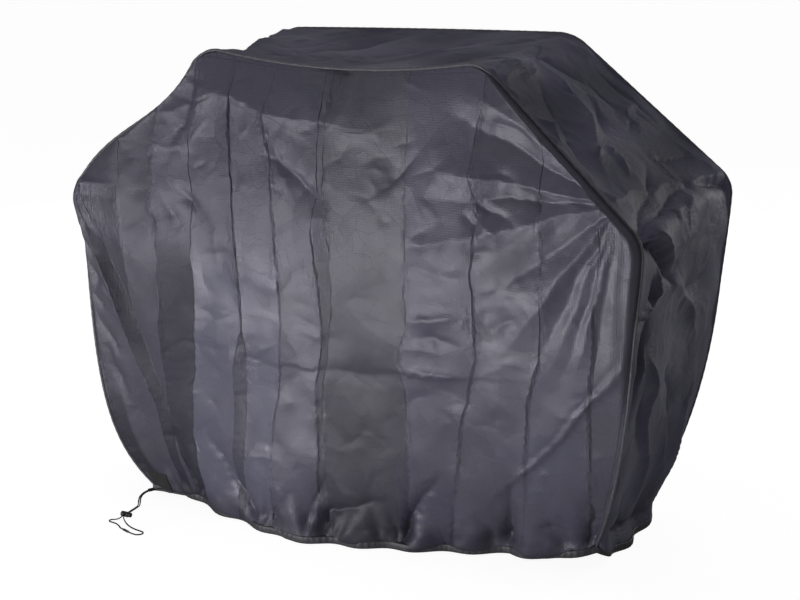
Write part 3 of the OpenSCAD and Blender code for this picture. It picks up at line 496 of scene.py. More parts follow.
class CoverSizes(bpy.types.PropertyGroup):
    """Sizes of the cover and its hem."""

    width: FloatProperty(name="Width", description="Across the two back shoulders, the widest place",
                         default=1.514, unit="LENGTH")
    depth: FloatProperty(name="Depth", description="Across the shoulders, front seam to back seam",
                         default=0.66, unit="LENGTH")
    height: FloatProperty(name="Height", description="Front corners of the top above the floor",
                          default=1.19, unit="LENGTH")
    shoulder: FloatProperty(name="Shoulder height", description="Front shoulders above the floor",
                            default=0.845, unit="LENGTH")
    shoulder_lift: FloatProperty(name="Shoulder lift", description="Back shoulders above the front ones",
                                 default=0.017, unit="LENGTH")
    shoulder_in: FloatVectorProperty(name="Shoulders in", size=2, unit="LENGTH", default=(0.043, 0.027),
                                     description="Front left and front right shoulder in from the back ones")
    top_width: FloatProperty(name="Top width", description="Between the two slopes, as cut",
                             default=0.714, unit="LENGTH")
    top_depth: FloatProperty(name="Top depth", description="Between the top's front and back seams",
                             default=0.61, unit="LENGTH")
    ear_in: FloatProperty(name="Ear in", description="How far the top's front left corner stands in",
                          default=0.022, unit="LENGTH")
    back_left_out: FloatProperty(name="Back left out", description="Spread of the top's back left corner",
                                 default=0.098, unit="LENGTH")
    back_left_drop: FloatProperty(name="Back left drop", description="That corner below the front corners",
                                  default=0.008, unit="LENGTH")
    back_right_lift: FloatProperty(name="Back right lift", unit="LENGTH", default=0.01,
                                   description="The top's back right corner above the front corners")
    back_right_in: FloatProperty(name="Back right in", description="How far that corner stands in",
                                 default=0.008, unit="LENGTH")
    corner: FloatProperty(name="Corner rounding", description="Length of the rounding beside a corner",
                          default=0.04, unit="LENGTH")
    inset: FloatVectorProperty(name="Side inset", size=2, unit="LENGTH", default=(0.03, 0.011),
                               description="How far the left and right sides fall in below the shoulders")
    left_slope_sag: FloatProperty(name="Left slope sag", description="Sag of the front left slope, high up",
                                  default=0.016, unit="LENGTH")
    front_sag: FloatProperty(name="Front sag", description="Sag of the front top edge",
                             default=0.025, unit="LENGTH")
    back_rise: FloatProperty(name="Back rise", description="Rise of the back top edge",
                             default=0.002, unit="LENGTH")
    piping_radius: FloatProperty(name="Piping radius", description="Radius of the corded seams",
                                 default=0.0035, unit="LENGTH")
    left_hem: FloatVectorProperty(name="Left hem corners", size=3, unit="LENGTH",
                                  description="Distance across, half depth and rise of the left corners",
                                  default=(0.595, 0.22, 0.014))
    right_hem: FloatVectorProperty(name="Front right hem corner", size=3, unit="LENGTH",
                                   description="Distance across, half depth and rise of that corner",
                                   default=(0.6, 0.155, 0.048))
    back_hem: FloatVectorProperty(name="Back right hem corner", size=3, unit="LENGTH",
                                  description="Distance across, half depth and rise of that corner",
                                  default=(0.632, 0.245, 0.048))
    hem_middle: FloatVectorProperty(name="Hem middle", size=2, unit="LENGTH", default=(0.235, 0.265),
                                    description="Hem from the middle plane, halfway along front and back")
    gusset_slack: FloatProperty(name="Gusset slack", description="How far the gusset's middle hangs in",
                                default=0.008, unit="LENGTH")
    front_belly: FloatProperty(name="Front belly", unit="LENGTH", default=0.08,
                               description="How far the front hem bellies out on its left")
    side_bow: FloatProperty(name="Side bow", description="How far the side hems bow out",
                            default=0.012, unit="LENGTH")
    hem_height: FloatProperty(name="Hem height", description="Height of the hem's tunnel",
                              default=0.02, unit="LENGTH")
    hem_thickness: FloatProperty(name="Hem thickness", description="Thickness of the hem's tunnel",
                                 default=0.009, unit="LENGTH")
    gather: FloatProperty(name="Gather depth", description="How far each gather stands in and out",
                          default=0.008, unit="LENGTH")
    front_gathers: IntProperty(name="Front gathers", description="Gathers along the front hem", default=9)
    back_gathers: IntProperty(name="Back gathers", description="Gathers along the back hem", default=6)
    side_gathers: IntProperty(name="Side gathers", description="Gathers along each side hem", default=3)
    cord_radius: FloatProperty(name="Cord radius", description="Radius of the loose braided drawcord",
                               default=0.0018, unit="LENGTH")
    cord_taut: FloatProperty(name="Taut cord radius", description="Radius of the drawcord in its lock",
                             default=0.0014, unit="LENGTH")
    outlet_length: FloatProperty(name="Outlet length", description="Length of the webbing sleeve",
                                 default=0.026, unit="LENGTH")


class CoverFinish(bpy.types.PropertyGroup):
    """Colours of the cover."""

    cloth: FloatVectorProperty(name="Cloth", description="Colour of the coated cloth", subtype="COLOR",
                               size=3, default=(0.062, 0.060, 0.088))
    # The warm patches paint the olive tint that the cloth's sheen takes in places
    cloth_sheen_tint: FloatVectorProperty(name="Cloth, warm patches", description="Colour of its warmer patches",
                                    subtype="COLOR", size=3, default=(0.064, 0.0625, 0.068))
    seam: FloatVectorProperty(name="Seams", description="Colour of the corded seams", subtype="COLOR",
                              size=3, default=(0.070, 0.068, 0.084))
    hem: FloatVectorProperty(name="Hem", description="Colour of the hem, in the shade of the cloth above it",
                             subtype="COLOR", size=3, default=(0.034, 0.033, 0.040))
    cord: FloatVectorProperty(name="Cord", description="Colour of the drawcord", subtype="COLOR",
                              size=3, default=(0.010, 0.010, 0.011))
    plastic: FloatVectorProperty(name="Lock", description="Colour of the cord lock", subtype="COLOR",
                                 size=3, default=(0.014, 0.014, 0.015))
    steel: FloatVectorProperty(name="Spring", description="Colour of the spring wire", subtype="COLOR",
                               size=3, default=(0.60, 0.60, 0.62))
    thread: FloatVectorProperty(name="Thread", description="Colour of the stitches", subtype="COLOR",
                                size=3, default=(0.028, 0.028, 0.032))
    floor: FloatVectorProperty(name="Floor", description="Colour of the floor", subtype="COLOR",
                               size=3, default=(0.80, 0.80, 0.80))


class CoverStage(bpy.types.PropertyGroup):
    """Camera and light."""

    azimuth: FloatProperty(name="Azimuth", description="Camera to the right of straight ahead",
                           default=math.radians(25.2), subtype="ANGLE")
    elevation: FloatProperty(name="Elevation", description="Camera above the horizon",
                             default=math.radians(15.9), subtype="ANGLE")
    distance: FloatProperty(name="Distance", description="Camera from its target",
                            default=3.755, unit="LENGTH")
    target: FloatVectorProperty(name="Target", description="Point that the camera looks at", size=3,
                                default=(0.018, 0.0, 0.554), unit="LENGTH")
    lens: FloatProperty(name="Lens", description="Focal length on a sensor 36 mm wide",
                        default=67.5, unit="CAMERA")
    key_power: FloatProperty(name="Key light", description="Power of the low, wide light at the front left",
                             default=37.0, unit="POWER")
    low_power: FloatProperty(name="Low light", description="Power of the strip light on the floor in front",
                             default=3.2, unit="POWER")
    side_power: FloatProperty(name="Side light", description="Power of the light that rakes the right side",
                              default=9.0, unit="POWER")
    top_power: FloatProperty(name="Top light", description="Power of the light above the top",
                             default=11.0, unit="POWER")
    back_power: FloatProperty(name="Back light", description="Power of the light that shows the back",
                              default=45.0, unit="POWER")
    rim_power: FloatProperty(name="Rim light", description="Power of the soft light behind",
                             default=9.0, unit="POWER")
    world: FloatProperty(name="Room light", description="Strength of the even light of the room",
                         default=0.20, min=0.0)


class Wire:
    """A socket's value in a material, which can be added to, multiplied and so on."""

    def __init__(self, nodes, socket):
        self.nodes = nodes
        self.socket = socket

    def maths(self, operation, a, b):
        return self.nodes.node("ShaderNodeMath", {"operation": operation}, {0: a, 1: b})

    def __add__(self, other):
        return self.maths("ADD", self, other)

    def __radd__(self, other):
        return self.maths("ADD", other, self)

    def __sub__(self, other):
        return self.maths("SUBTRACT", self, other)

    def __rsub__(self, other):
        return self.maths("SUBTRACT", other, self)

    def __mul__(self, other):
        return self.maths("MULTIPLY", self, other)

    def __rmul__(self, other):
        return self.maths("MULTIPLY", other, self)

    def other(self, output):
        """Another output of the same node."""
        return Wire(self.nodes, self.socket.node.outputs[output])

    def between(self, low, high):
        """Share of the way from one value to another, from 0 to 1."""
        return self.nodes.node("ShaderNodeMapRange", None, {0: self, 1: low, 2: high})

    def near(self, reach):
        """Falls softly from 1 at nothing to 0 at a value."""
        return self.nodes.node("ShaderNodeMapRange", {"interpolation_type": "SMOOTHSTEP"},
                               {0: self, 1: 0.0, 2: reach, 3: 1.0, 4: 0.0})


class Nodes:
    """The node tree of a material or of the world."""

    def __init__(self, owner):
        owner.use_nodes = True
        self.tree = owner.node_tree
        self.tree.nodes.clear()

    def node(self, kind, settings=None, inputs=None, output=0):
        """Adds a node, sets it up, fills or links its sockets and returns one of its outputs."""
        made = self.tree.nodes.new(kind)
        for name, value in (settings or {}).items():
            setattr(made, name, value)
        for name, value in (inputs or {}).items():
            if isinstance(value, Wire):
                self.tree.links.new(value.socket, made.inputs[name])
            else:
                made.inputs[name].default_value = value
        return Wire(self, made.outputs[output]) if made.outputs else None

    def blend(self, factor, a, b):
        """Mixes two colours."""
        return self.node("ShaderNodeMix", {"data_type": "RGBA"}, {0: factor, 6: a, 7: b}, 2)

    def bump(self, strength, height):
        """Normal of a surface with that height in metres."""
        return self.node("ShaderNodeBump", None, {"Strength": strength, "Distance": 1.0, "Height": height})

    def surface(self, inputs):
        """Gives the material its surface."""
        shader = self.node("ShaderNodeBsdfPrincipled", None, inputs)
        self.node("ShaderNodeOutputMaterial", None, {"Surface": shader})


def opaque(colour):
    return (*colour, 1.0)


def tint(colour, share):
    return opaque([share * c for c in colour])


def new_material(name):
    """An empty material and its nodes."""
    material = bpy.data.materials.new(name)
    return material, Nodes(material)


def cloth_weave(nodes, pitch, thickness):
    """Height of raised threads in a square grid of that pitch, on the cloth's own map."""
    place = nodes.node("ShaderNodeUVMap", {"uv_map": "cloth"})
    across = nodes.node("ShaderNodeSeparateXYZ", None, {0: place})
    lines = [run.maths("PINGPONG", run, pitch / 2).near(thickness) for run in (across, across.other(1))]
    return place, across.maths("MAXIMUM", *lines)


def mark(nodes, name):
    """A number that the cloth's mesh carries at each point."""
    return nodes.node("ShaderNodeAttribute", {"attribute_name": name}, None, 2)


def noise(nodes, place, stretch, detail):
    """Noise on the cloth's map, with its cells per metre across and along."""
    vector = nodes.node("ShaderNodeVectorMath", {"operation": "MULTIPLY"}, {0: place, 1: (*stretch, 1.0)})
    return specks(nodes, vector, 1.0, detail)


def specks(nodes, place, scale, detail):
    """Noise with the same number of cells per metre every way."""
    return nodes.node("ShaderNodeTexNoise", None, {"Vector": place, "Scale": scale, "Detail": detail})


def facets(nodes, place, scale):
    """Height of a cloth crumpled into flat facets, each tilted its own way, that many to a metre."""
    middle = nodes.node("ShaderNodeTexVoronoi", {"voronoi_dimensions": "2D"},
                        {"Vector": place, "Scale": scale}, 2)
    lean = middle.other(1)
    off = nodes.node("ShaderNodeVectorMath", {"operation": "SUBTRACT"}, {0: place, 1: middle})
    lean = nodes.node("ShaderNodeVectorMath", {"operation": "SUBTRACT"}, {0: lean, 1: (0.5, 0.5, 0.5)})
    return nodes.node("ShaderNodeVectorMath", {"operation": "DOT_PRODUCT"}, {0: off, 1: lean}, 1)


def coated_cloth(name, colour, warm, roughness, crumples, sheen):
    """Coated ripstop: a grid of thicker threads, small crumples, crease lines dark with painted shade,
    two-tone patches that paint the tint of its sheen, and strips painted with shade or sheen.
    """
    material, nodes = new_material(name)
    place, grid = cloth_weave(nodes, RIPSTOP_PITCH, RIPSTOP_WIDTH)
    threads = cloth_weave(nodes, THREAD_PITCH, THREAD_WIDTH)[1]
    patches = noise(nodes, place, (5.0, 11.0), 3.0)
    streaks = noise(nodes, place, (110.0, 45.0), 3.0)

    # The cloth is warmer in patches, a painted tint of its sheen, and painted lighter with sheen or darker
    # with shade between packing creases
    patch = (patches * 0.7 + mark(nodes, "warm") * 0.3).between(0.34, 0.64)
    base = nodes.blend(patch, opaque(colour), opaque(warm))
    base = nodes.blend(grid * 0.35, base, tint(colour, 1.7))
    tone = mark(nodes, "tone")
    # Colour of the painted shade on the darkest strips
    shadow = [share * c for share, c in zip((0.13, 0.13, 0.20), colour)]
    base = nodes.blend(tone, nodes.blend(0.85, base, opaque(shadow)),
                       nodes.blend(0.30, base, tint(colour, 2.0)))

    # Crease lines are dark with painted shade, broken up
    line = mark(nodes, "crease") * streaks.between(0.35, 0.60)
    base = nodes.blend(line * 0.42, base, tint(colour, 0.40))

    # Row of stitches beside the seam, pulled in, with painted shade in its dip
    seam = mark(nodes, "seam") - STITCH_AWAY
    seam = nodes.node("ShaderNodeMath", {"operation": "ABSOLUTE"}, {0: seam}).near(STITCH_DIP)
    base = nodes.blend(seam * 0.4, base, tint(colour, 0.5))

    # Relief: threads, wrinkles at the creases and crumpled facets, on a map that is bent a little
    bent = noise(nodes, place, (9.0, 9.0), 2.0)
    place = nodes.node("ShaderNodeVectorMath", {"operation": "MULTIPLY_ADD"},
                       {0: bent, 1: (0.05, 0.05, 0.0), 2: place})
    relief = (grid * 0.00024 + threads * 0.00004 + streaks * mark(nodes, "wrinkle") * 0.0075
              + facets(nodes, place, 10.0) * (0.16 * crumples)
              + facets(nodes, place, 23.0) * (0.14 * crumples)
              - line * 0.0005 - seam * 0.0006)
    gloss = roughness + 0.22 + 0.08 * patches + 0.08 * line - 0.05 * grid - 0.26 * tone
    nodes.surface({
        "Base Color": base, "Roughness": gloss, "Normal": nodes.bump(0.7, relief),
        "Specular IOR Level": sheen, "Specular Tint": (0.95, 0.93, 1.0, 1.0)})
    return material


def gathered_cloth(name, colour):
    """Doubled cloth of the hem and the seams, more matt, with fine cross puckers."""
    material, nodes = new_material(name)
    place, threads = cloth_weave(nodes, THREAD_PITCH, THREAD_WIDTH)
    patches = specks(nodes, place, 60.0, 3.0)
    base = nodes.blend(patches.between(0.45, 0.75) * 0.5, opaque(colour), tint(colour, 2.2))
    bump = nodes.bump(0.6, threads * 0.00006 + patches * 0.0008)
    nodes.surface({
        "Base Color": base, "Roughness": 0.42 + 0.16 * patches, "Normal": bump, "Specular IOR Level": 0.6})
    return material


def braided(name, colour, strand, rows):
    """Braid on a tube whose map runs round it and along it: two sets of slanting strands,
    with painted highlights on their crests and painted shade between them.
    """
    material, nodes = new_material(name)
    place = nodes.node("ShaderNodeUVMap", {"uv_map": "cloth"})
    around = nodes.node("ShaderNodeSeparateXYZ", None, {0: place})
    turn = around * (2 * math.pi * rows)
    slant = around.other(1) * (2 * math.pi / strand)
    over = nodes.node("ShaderNodeMath", {"operation": "SINE"}, {0: turn + slant})
    under = nodes.node("ShaderNodeMath", {"operation": "SINE"}, {0: turn - slant})
    ridge = over.maths("MAXIMUM", over, under)
    fuzz = specks(nodes, place, 900.0, 2.0)
    # Painted highlight on the crests of the strands, painted shade between them
    base = nodes.blend(ridge.between(-0.4, 1.0), tint(colour, 0.45), tint(colour, 2.0))
    bump = nodes.bump(0.8, ridge * 0.00022 + fuzz * 0.00008)
    nodes.surface({
        "Base Color": base, "Roughness": 0.62 + 0.2 * fuzz, "Normal": bump, "Specular IOR Level": 0.4})
    return material


def moulded_plastic(name, colour):
    """Black moulded plastic with a fine spark-eroded grain and paler, rubbed high spots."""
    material, nodes = new_material(name)
    place = nodes.node("ShaderNodeTexCoord", None, None, 3)
    grain = specks(nodes, place, 2600.0, 3.0)
    rub = specks(nodes, place, 260.0, 4.0)
    base = nodes.blend(rub.between(0.55, 0.8) * 0.5, opaque(colour), tint(colour, 2.6))
    bump = nodes.bump(0.35, grain * 0.00012)
    nodes.surface({"Base Color": base, "Roughness": 0.34 + 0.18 * rub, "Normal": bump})
    return material


def drawn_wire(name, colour):
    """Drawn spring wire with a faint bluish oil film."""
    material, nodes = new_material(name)
    place = nodes.node("ShaderNodeTexCoord", None, None, 3)
    film = specks(nodes, place, 900.0, 2.0)
    base = nodes.blend(film, opaque(colour), opaque((0.42, 0.43, 0.47)))
    nodes.surface({"Base Color": base, "Roughness": 0.22 + 0.16 * film, "Metallic": 1.0})
    return material


def pale_floor(name, colour):
    """White floor that keeps the object's shadow and shows as white where it is lit."""
    material, nodes = new_material(name)
    path = nodes.node("ShaderNodeLightPath")
    grain = nodes.node("ShaderNodeTexNoise", None, {"Scale": 4.0})
    base = nodes.blend(grain * 0.04, opaque(colour), tint(colour, 0.9))
    shader = nodes.node("ShaderNodeBsdfPrincipled", None, {
        "Base Color": base, "Roughness": 0.9, "Specular IOR Level": 0.0})
    glow = nodes.node("ShaderNodeEmission", None, {"Color": (1, 1, 1, 1), "Strength": 1.30})
    both = nodes.node("ShaderNodeMixShader", None, {0: path * 0.72, 1: shader, 2: glow})
    nodes.node("ShaderNodeOutputMaterial", None, {"Surface": both})
    return material


def corners():
    """The cover's four corners: hem, shoulder and top places, side (0 left, 1 right) and slope sag."""
    size = bpy.context.scene.cover_sizes
    half_w, half_d, half_top, top_d = size.width / 2, size.depth / 2, size.top_width / 2, size.top_depth / 2
    back = (half_w, half_d, size.shoulder + size.shoulder_lift)
    return {
        "front_left": (size.left_hem, (half_w - size.shoulder_in[0], half_d, size.shoulder),
                       (half_top - size.ear_in, top_d, size.height), 0, size.left_slope_sag),
        "front_right": (size.right_hem, (half_w - size.shoulder_in[1], half_d, size.shoulder),
                        (half_top, top_d, size.height), 1, 0),
        "back_right": (size.back_hem, back,
                       (half_top - size.back_right_in, top_d, size.height + size.back_right_lift), 1, 0),
        "back_left": (size.left_hem, back,
                      (half_top + size.back_left_out, top_d, size.height - size.back_left_drop), 0, 0)}


def seam_line(name):
    """Stations up the seam at one corner: across, depth, height, and weights for the hem and the top."""
    size = bpy.context.scene.cover_sizes
    hem, shoulder, top, hand, sag = corners()[name]
    inset = size.inset[hand]
    shoulder, top = np.array([*shoulder, 0, 0]), np.array([*top, 0, 0])
    t = np.linspace(0, 1, SIDE_ROWS)
    low = 1 - (0.65 * t + 0.35 * t * t) * (1 - size.corner / shoulder[2])
    side = np.stack([
        shoulder[0] - inset * smooth(low / INSET_SHARES[hand])
        - (shoulder[0] - inset - hem[0]) * low ** SIDE_CURVES[hand],
        shoulder[1] - (shoulder[1] - hem[1]) * low ** 3,
        mix(shoulder[2], hem[2] + size.hem_height - HEM_LAP, low),
        low ** 3,
        0 * low], -1)
    step = (top - shoulder) * size.corner / np.linalg.norm(top - shoulder)
    outward = unit(np.array([step[2], 0, -step[0], 0, 0]))
    t = np.linspace(0, 1, SLOPE_ROWS)[1:, None]
    slope = mix(shoulder + step, top - step, t) - outward * sag * np.sin(math.pi * t) * (4.5 * t - 1.8)

    def bend(a, b, c):
        t = np.linspace(0, 1, CORNER_ROWS + 1)[1:, None]
        return mix(mix(a, b, t), mix(b, c, t), t)

    return np.concatenate([
        side,
        bend(side[-1], shoulder, shoulder + step),
        slope,
        bend(top - step, top, top + np.array([-size.corner, 0, 0, 0, 1]))])


def line_place(a, b, line):
    """Signed distance of points from a bent line, positive on its left, and the share along it."""
    line = np.array(line)
    runs = np.linalg.norm(np.diff(line, axis=0), axis=1)
    starts = np.concatenate([[0], np.cumsum(runs)])
    best = np.full(a.shape, np.inf)
    signed = np.zeros(a.shape)
    share = np.zeros(a.shape)
    for p, q, run, start in zip(line[:-1], line[1:], runs, starts):
        d = (q - p) / run
        t = np.clip((a - p[0]) * d[0] + (b - p[1]) * d[1], 0, run)
        off_a, off_b = a - p[0] - t * d[0], b - p[1] - t * d[1]
        far = np.hypot(off_a, off_b)
        near = far < best
        side = np.where(d[0] * off_b - d[1] * off_a >= 0, 1, -1)
        best = np.where(near, far, best)
        signed = np.where(near, side * far, signed)
        share = np.where(near, (start + t) / starts[-1], share)
    return signed, share


def add_crease(depth, crease_shade, a, b, line, depths, left, right):
    """Adds one crease to the depth of a cloth, and the painted shade of its sharp line to the crease shade.
    """
    points = np.array(line)
    reach = CREASE_REACH * max(left, right)
    near = ((a > points[:, 0].min() - reach) & (a < points[:, 0].max() + reach)
            & (b > points[:, 1].min() - reach) & (b < points[:, 1].max() + reach))
    if not near.any():
        return
    signed, share = line_place(a[near], b[near], line)
    size = np.interp(share, np.linspace(0, 1, len(depths)), depths)
    flank = np.where(signed > 0, left, right)
    depth[near] += size * np.exp(-np.abs(signed) / flank)
    sharp = np.clip(np.abs(size) / CREASE_SHADE_DEPTH, 0, 1)
    crease_shade[near] = np.maximum(crease_shade[near], np.exp(-np.abs(signed) / CREASE_SHADE_WIDTH) * sharp)


def set_over(x, z):
    """How far folds set out on a flat front lie further right, since the cloth stands out in front of it."""
    return (SET_OVER - SET_OVER_SLOPE * x) * np.interp(z, *np.array(SET_OVER_SHARES).T)


def pleat_edges(z, pleats, tones, seed):
    """Edges of the packing creases, three to each: places and depths row by row, and the painted light of the
    strips between.
    """
    places, depths, strips = [], [], [tones[0]]
    for number, pleat in enumerate(pleats):
        height, across, *sides = np.array(pleat).T
        place = np.interp(z, height, across)
        rows = place + number
        place = place + set_over(place, z)
        place = swayed(place, rows, z, seed, PLEAT_SWAY)
        left, right = np.interp(z, height, sides[0]), np.interp(z, height, sides[-1])
        left, right = mix(left, right, 0.3), mix(right, left, 0.3)
        groove = CREASE_GROOVE * (0.7 + 0.8 * wander(rows, z, seed + 2, 5, 0.12))
        uneven = 1 + 0.3 * wander(rows, z, seed + 3, 5, 0.025).clip(-1, 1)
        half = (CREASE_WIDTH / 2 + 1.2 * np.abs(right - left)) * uneven
        places += [place - half, place, place + half]
        depths += [left, (left + right) / 2 + groove, right]
        strips += [tones[number], tones[number + 1], tones[number + 1]]
    return np.array(places), np.array(depths), strips


def crease_columns(left, right, z, pleats, tones, step, seed):
    """Columns of a panel along its packing creases: places, depths, lines, painted light, wrinkles and folds.
    """
    places, depths, tones = pleat_edges(z, pleats, tones, seed)
    count = len(places)
    order = np.arange(1, count + 1)[:, None] * COLUMN_GAP
    places = np.maximum(np.maximum.accumulate(places - order), left) + order
    places = np.minimum(places, right - (count + 1) * COLUMN_GAP + order)
    nothing = 0 * z[None, :]
    knots = np.concatenate([nothing + left, places, nothing + right])
    depths = np.concatenate([nothing, depths, nothing])
    lines = np.zeros(count + 2)
    lines[2:-1:3] = 1
    columns = [[], [], [], []]
    folds = []
    for k in range(count + 1):
        folds.append(sum(part.shape[1] for part in columns[0]))
        gap = np.median((knots[k + 1] - knots[k])[:SIDE_ROWS])
        steps = max(2, round(gap / step))
        t = np.arange(steps) / steps
        t = 0.4 * t + 0.3 * (1 - np.cos(math.pi * t))
        columns[0].append(mix(knots[k][:, None], knots[k + 1][:, None], t))
        columns[1].append(mix(depths[k][:, None], depths[k + 1][:, None], t))
        columns[2].append(np.broadcast_to(mix(lines[k], lines[k + 1], t), (len(z), steps)))
        columns[3].append(np.broadcast_to(tones[k], (len(z), steps, 2)))
    ends = (knots[-1], depths[-1], 0 * z, np.broadcast_to(tones[-1], (len(z), 2)))
    x, depth, line, tone = [np.concatenate([*column, end[:, None]], 1) for column, end in zip(columns, ends)]
    wrinkle = np.zeros(x.shape)
    heights = np.broadcast_to(z[:, None], x.shape)
    for number, place in enumerate(places[1::3]):
        spread = WRINKLE_SPREAD * (1 + 0.6 * wander(x, heights, seed + 7 + number, 4, 0.2).clip(-1, 1))
        strength = (0.45 + 0.7 * wander(0 * x + number, heights, seed + 5, 4, 0.18)).clip(0, 1)
        wrinkle = np.maximum(wrinkle, strength * np.exp(-np.abs(x - place[:, None]) / spread))
    return x, depth, line, tone, wrinkle, folds[1:]


def wander(a, b, seed, waves, scale):
    """Soft random field between about -1 and 1, made of a few waves."""
    rng = np.random.default_rng(seed)
    total = np.zeros(a.shape)
    for _ in range(waves):
        turn = rng.uniform(0, 2 * math.pi)
        rate = 2 * math.pi / (scale * rng.uniform(0.6, 1.6))
        total += np.sin(rate * (a * math.cos(turn) + b * math.sin(turn)) + rng.uniform(0, 2 * math.pi))
    return total / math.sqrt(waves)


def swayed(place, a, b, seed, parts):
    """A place shifted by soft random waves; each part is a size and a length of wave."""
    for number, (size, length) in enumerate(parts):
        place = place + size * wander(a, b, seed + number, SWAY_WAVES, length)
    return place


def crumple(depth, crease_shade, a, b, seed, count, size, lean):
    """Scatters short random creases over a cloth; lean is the usual direction of their lines."""
    rng = np.random.default_rng(seed)
    low = np.array([a.min(), b.min()])
    high = np.array([a.max(), b.max()])
    for _ in range(count):
        middle = rng.uniform(low, high)
        turn = lean + rng.normal(0, 0.7)
        half = rng.uniform(*CRUMPLE_HALF)
        way = np.array([math.cos(turn), math.sin(turn)]) * half
        side = np.array([-way[1], way[0]]) * rng.uniform(-0.35, 0.35)
        height = size * rng.uniform(0.3, 1.0) * rng.choice([-1, 1])
        flanks = rng.uniform(*CRUMPLE_FLANKS, 2)
        add_crease(depth, crease_shade, a, b, [middle - way, middle + side, middle + way], (0, height, 0), *flanks)


def fan_depth(a, b):
    """Folds that fan out from the right front shoulder."""
    across, down = FAN_CENTRE[0] - a, FAN_CENTRE[1] - b
    far = np.hypot(across, down)
    turn = np.degrees(np.arctan2(down, across))
    angles, heights = np.array(FAN_FOLDS).T
    fade = 1 - smooth((far - 0.6 * FAN_REACH) / (0.9 * FAN_REACH))
    return np.interp(turn, angles, heights, 0, 0) * FAN_SLOPE * np.minimum(far, FAN_REACH) * fade


def panel_base(side, x):
    """The smooth panel at places across it, row by row: points, and weights for the hem and the top."""
    sizes = bpy.context.scene.cover_sizes
    front = side == "front"
    left_seam, right_seam = seam_line(side + "_left")[:, None, :], seam_line(side + "_right")[:, None, :]
    left, right = SEAM_GAP - left_seam[..., 0], right_seam[..., 0] - SEAM_GAP
    f = (x - left) / (right - left)
    u = 2 * f - 1
    s = mix(left_seam, right_seam, f[..., None])
    low, top = s[..., 3], s[..., 4]
    hem = mix(np.array(sizes.left_hem), np.array(sizes.right_hem if front else sizes.back_hem), f[..., None])
    high = np.maximum(0, (s[..., 2] - sizes.shoulder) / (sizes.height - sizes.shoulder))
    sag = sizes.front_sag * high ** 2 if front else -sizes.back_rise * top
    z = s[..., 2] - SEAM_GAP * top - hem[..., 2] * flat_top(u) * low - sag * (1 - u * u)
    bow = (sizes.hem_middle[0 if front else 1] - hem[..., 1]) * flat_top(u) * low
    if front:
        bow = bow + sizes.front_belly * np.interp(u, *np.array(FRONT_BELLIES).T) * low
    gather = np.sin(2 * math.pi * (sizes.front_gathers if front else sizes.back_gathers) * f)
    y = s[..., 1] + bow - sizes.gather * gather * low * low
    return np.stack([x, -y if front else y, z], -1), low, top, u


def panel_columns(side, pleats, tones, step, seed):
    """Columns of a panel that follow its packing creases at their real heights."""
    left, right = seam_line(side + "_left"), seam_line(side + "_right")
    z = mix(left[:, 2], right[:, 2], 0.5)
    return crease_columns(SEAM_GAP - left[:, 0], right[:, 0] - SEAM_GAP, z, pleats, tones, step, seed)


def hem_roll(height, lobe):
    """How far the cloth billows out over the hem and hangs down over it, at a height above the hem."""
    def part(full, size, start, fade):
        return size * full * np.exp(-height / fade) * (1 - np.exp(-height / start))

    return part(lobe, *BILLOW), part(np.minimum(lobe, 1), *DROOP)


def lobes(x, pinches):
    """Fullness of the cloth between pinches, from 0 at a pinch to about 1 halfway to the next."""
    pinches = np.array(pinches)
    gap = np.clip(np.searchsorted(pinches, x) - 1, 0, len(pinches) - 2)
    start, end = pinches[gap], pinches[gap + 1]
    share = np.clip((x - start) / (end - start), 0, 1)
    return np.sin(math.pi * share) ** 0.5 * np.sqrt(np.minimum(end - start, LOBE_GAP) / LOBE_GAP)


def uneven(x, z, seed):
    """Share by which a panel's fullness over the hem changes from place to place."""
    return 0.85 + 0.25 * wander(x, z, seed, 5, 0.12)


def pinch_folds(x, height, pinches, seed):
    """Small folds that fan out upwards from each place where the hem is pinched."""
    rng = np.random.default_rng(seed)
    total = np.zeros(x.shape)
    for pinch in pinches:
        far = np.hypot(x - pinch, height + PINCH_BELOW)
        turn = np.arctan2(x - pinch, height + PINCH_BELOW)
        wave = np.sin(rng.uniform(5, 8) * turn + rng.uniform(0, 6))
        wave = wave + 0.6 * np.sin(11 * turn + rng.uniform(0, 6))
        total += PINCH_DEPTH * rng.uniform(0.6, 1.2) * wave * np.exp(-far / rng.uniform(0.06, 0.10))
    return total


def inside_edges(u, width):
    """Nothing at a cloth's two edges, and 1 from that share of its half width inwards."""
    return smooth(np.minimum(1 - np.abs(u), width) / width)


def above_hem(low):
    """Nothing at the hem and 1 a little way above it."""
    return smooth((1 - low) / HEM_HOLD)


def below_top(top):
    """Nothing at the top edge and 1 a little way below it."""
    return smooth((1 - top) / TOP_HOLD)


def panel_marks(points, tone, warm, lines, crease_shade, wrinkle, held):
    """What a panel's mesh carries for its material, with the painted shade of its crease lines; wrinkles also
    gather at the seams.
    """
    seam = seam_distance(points)
    return {"crease": np.maximum(0.6 * crease_shade, lines) * held, "tone": tone, "warm": warm, "seam": seam,
            "wrinkle": np.maximum(wrinkle * held, 0.7 * np.exp(-seam / SEAM_SPREAD))}


def front_painted_light(strips, x, z, a, b):
    """Painted light of the front: its strips' own below the shoulders, an even level above, and parts painted
    with shade.
    """
    even = EVEN_TONE + EVEN_TONE_GAIN * smooth(x / EVEN_TONE_WIDTH)
    tone = mix(strips, even, smooth((z - STRIPS_TOP) / STRIPS_FADE))
    left, right, top, fade, share = DARK_BLOCK
    tone = tone * (1 - share * (a > left) * (a < right) * smooth((top - b) / fade))
    top, fade, share = DARK_HEM
    tone = tone * (1 - share * smooth((top - z) / fade))
    top, fade, width, side_fade = DARK_EDGE
    return tone * (1 - smooth((top - z) / fade) * smooth((width - (x - x[:, :1])) / side_fade))


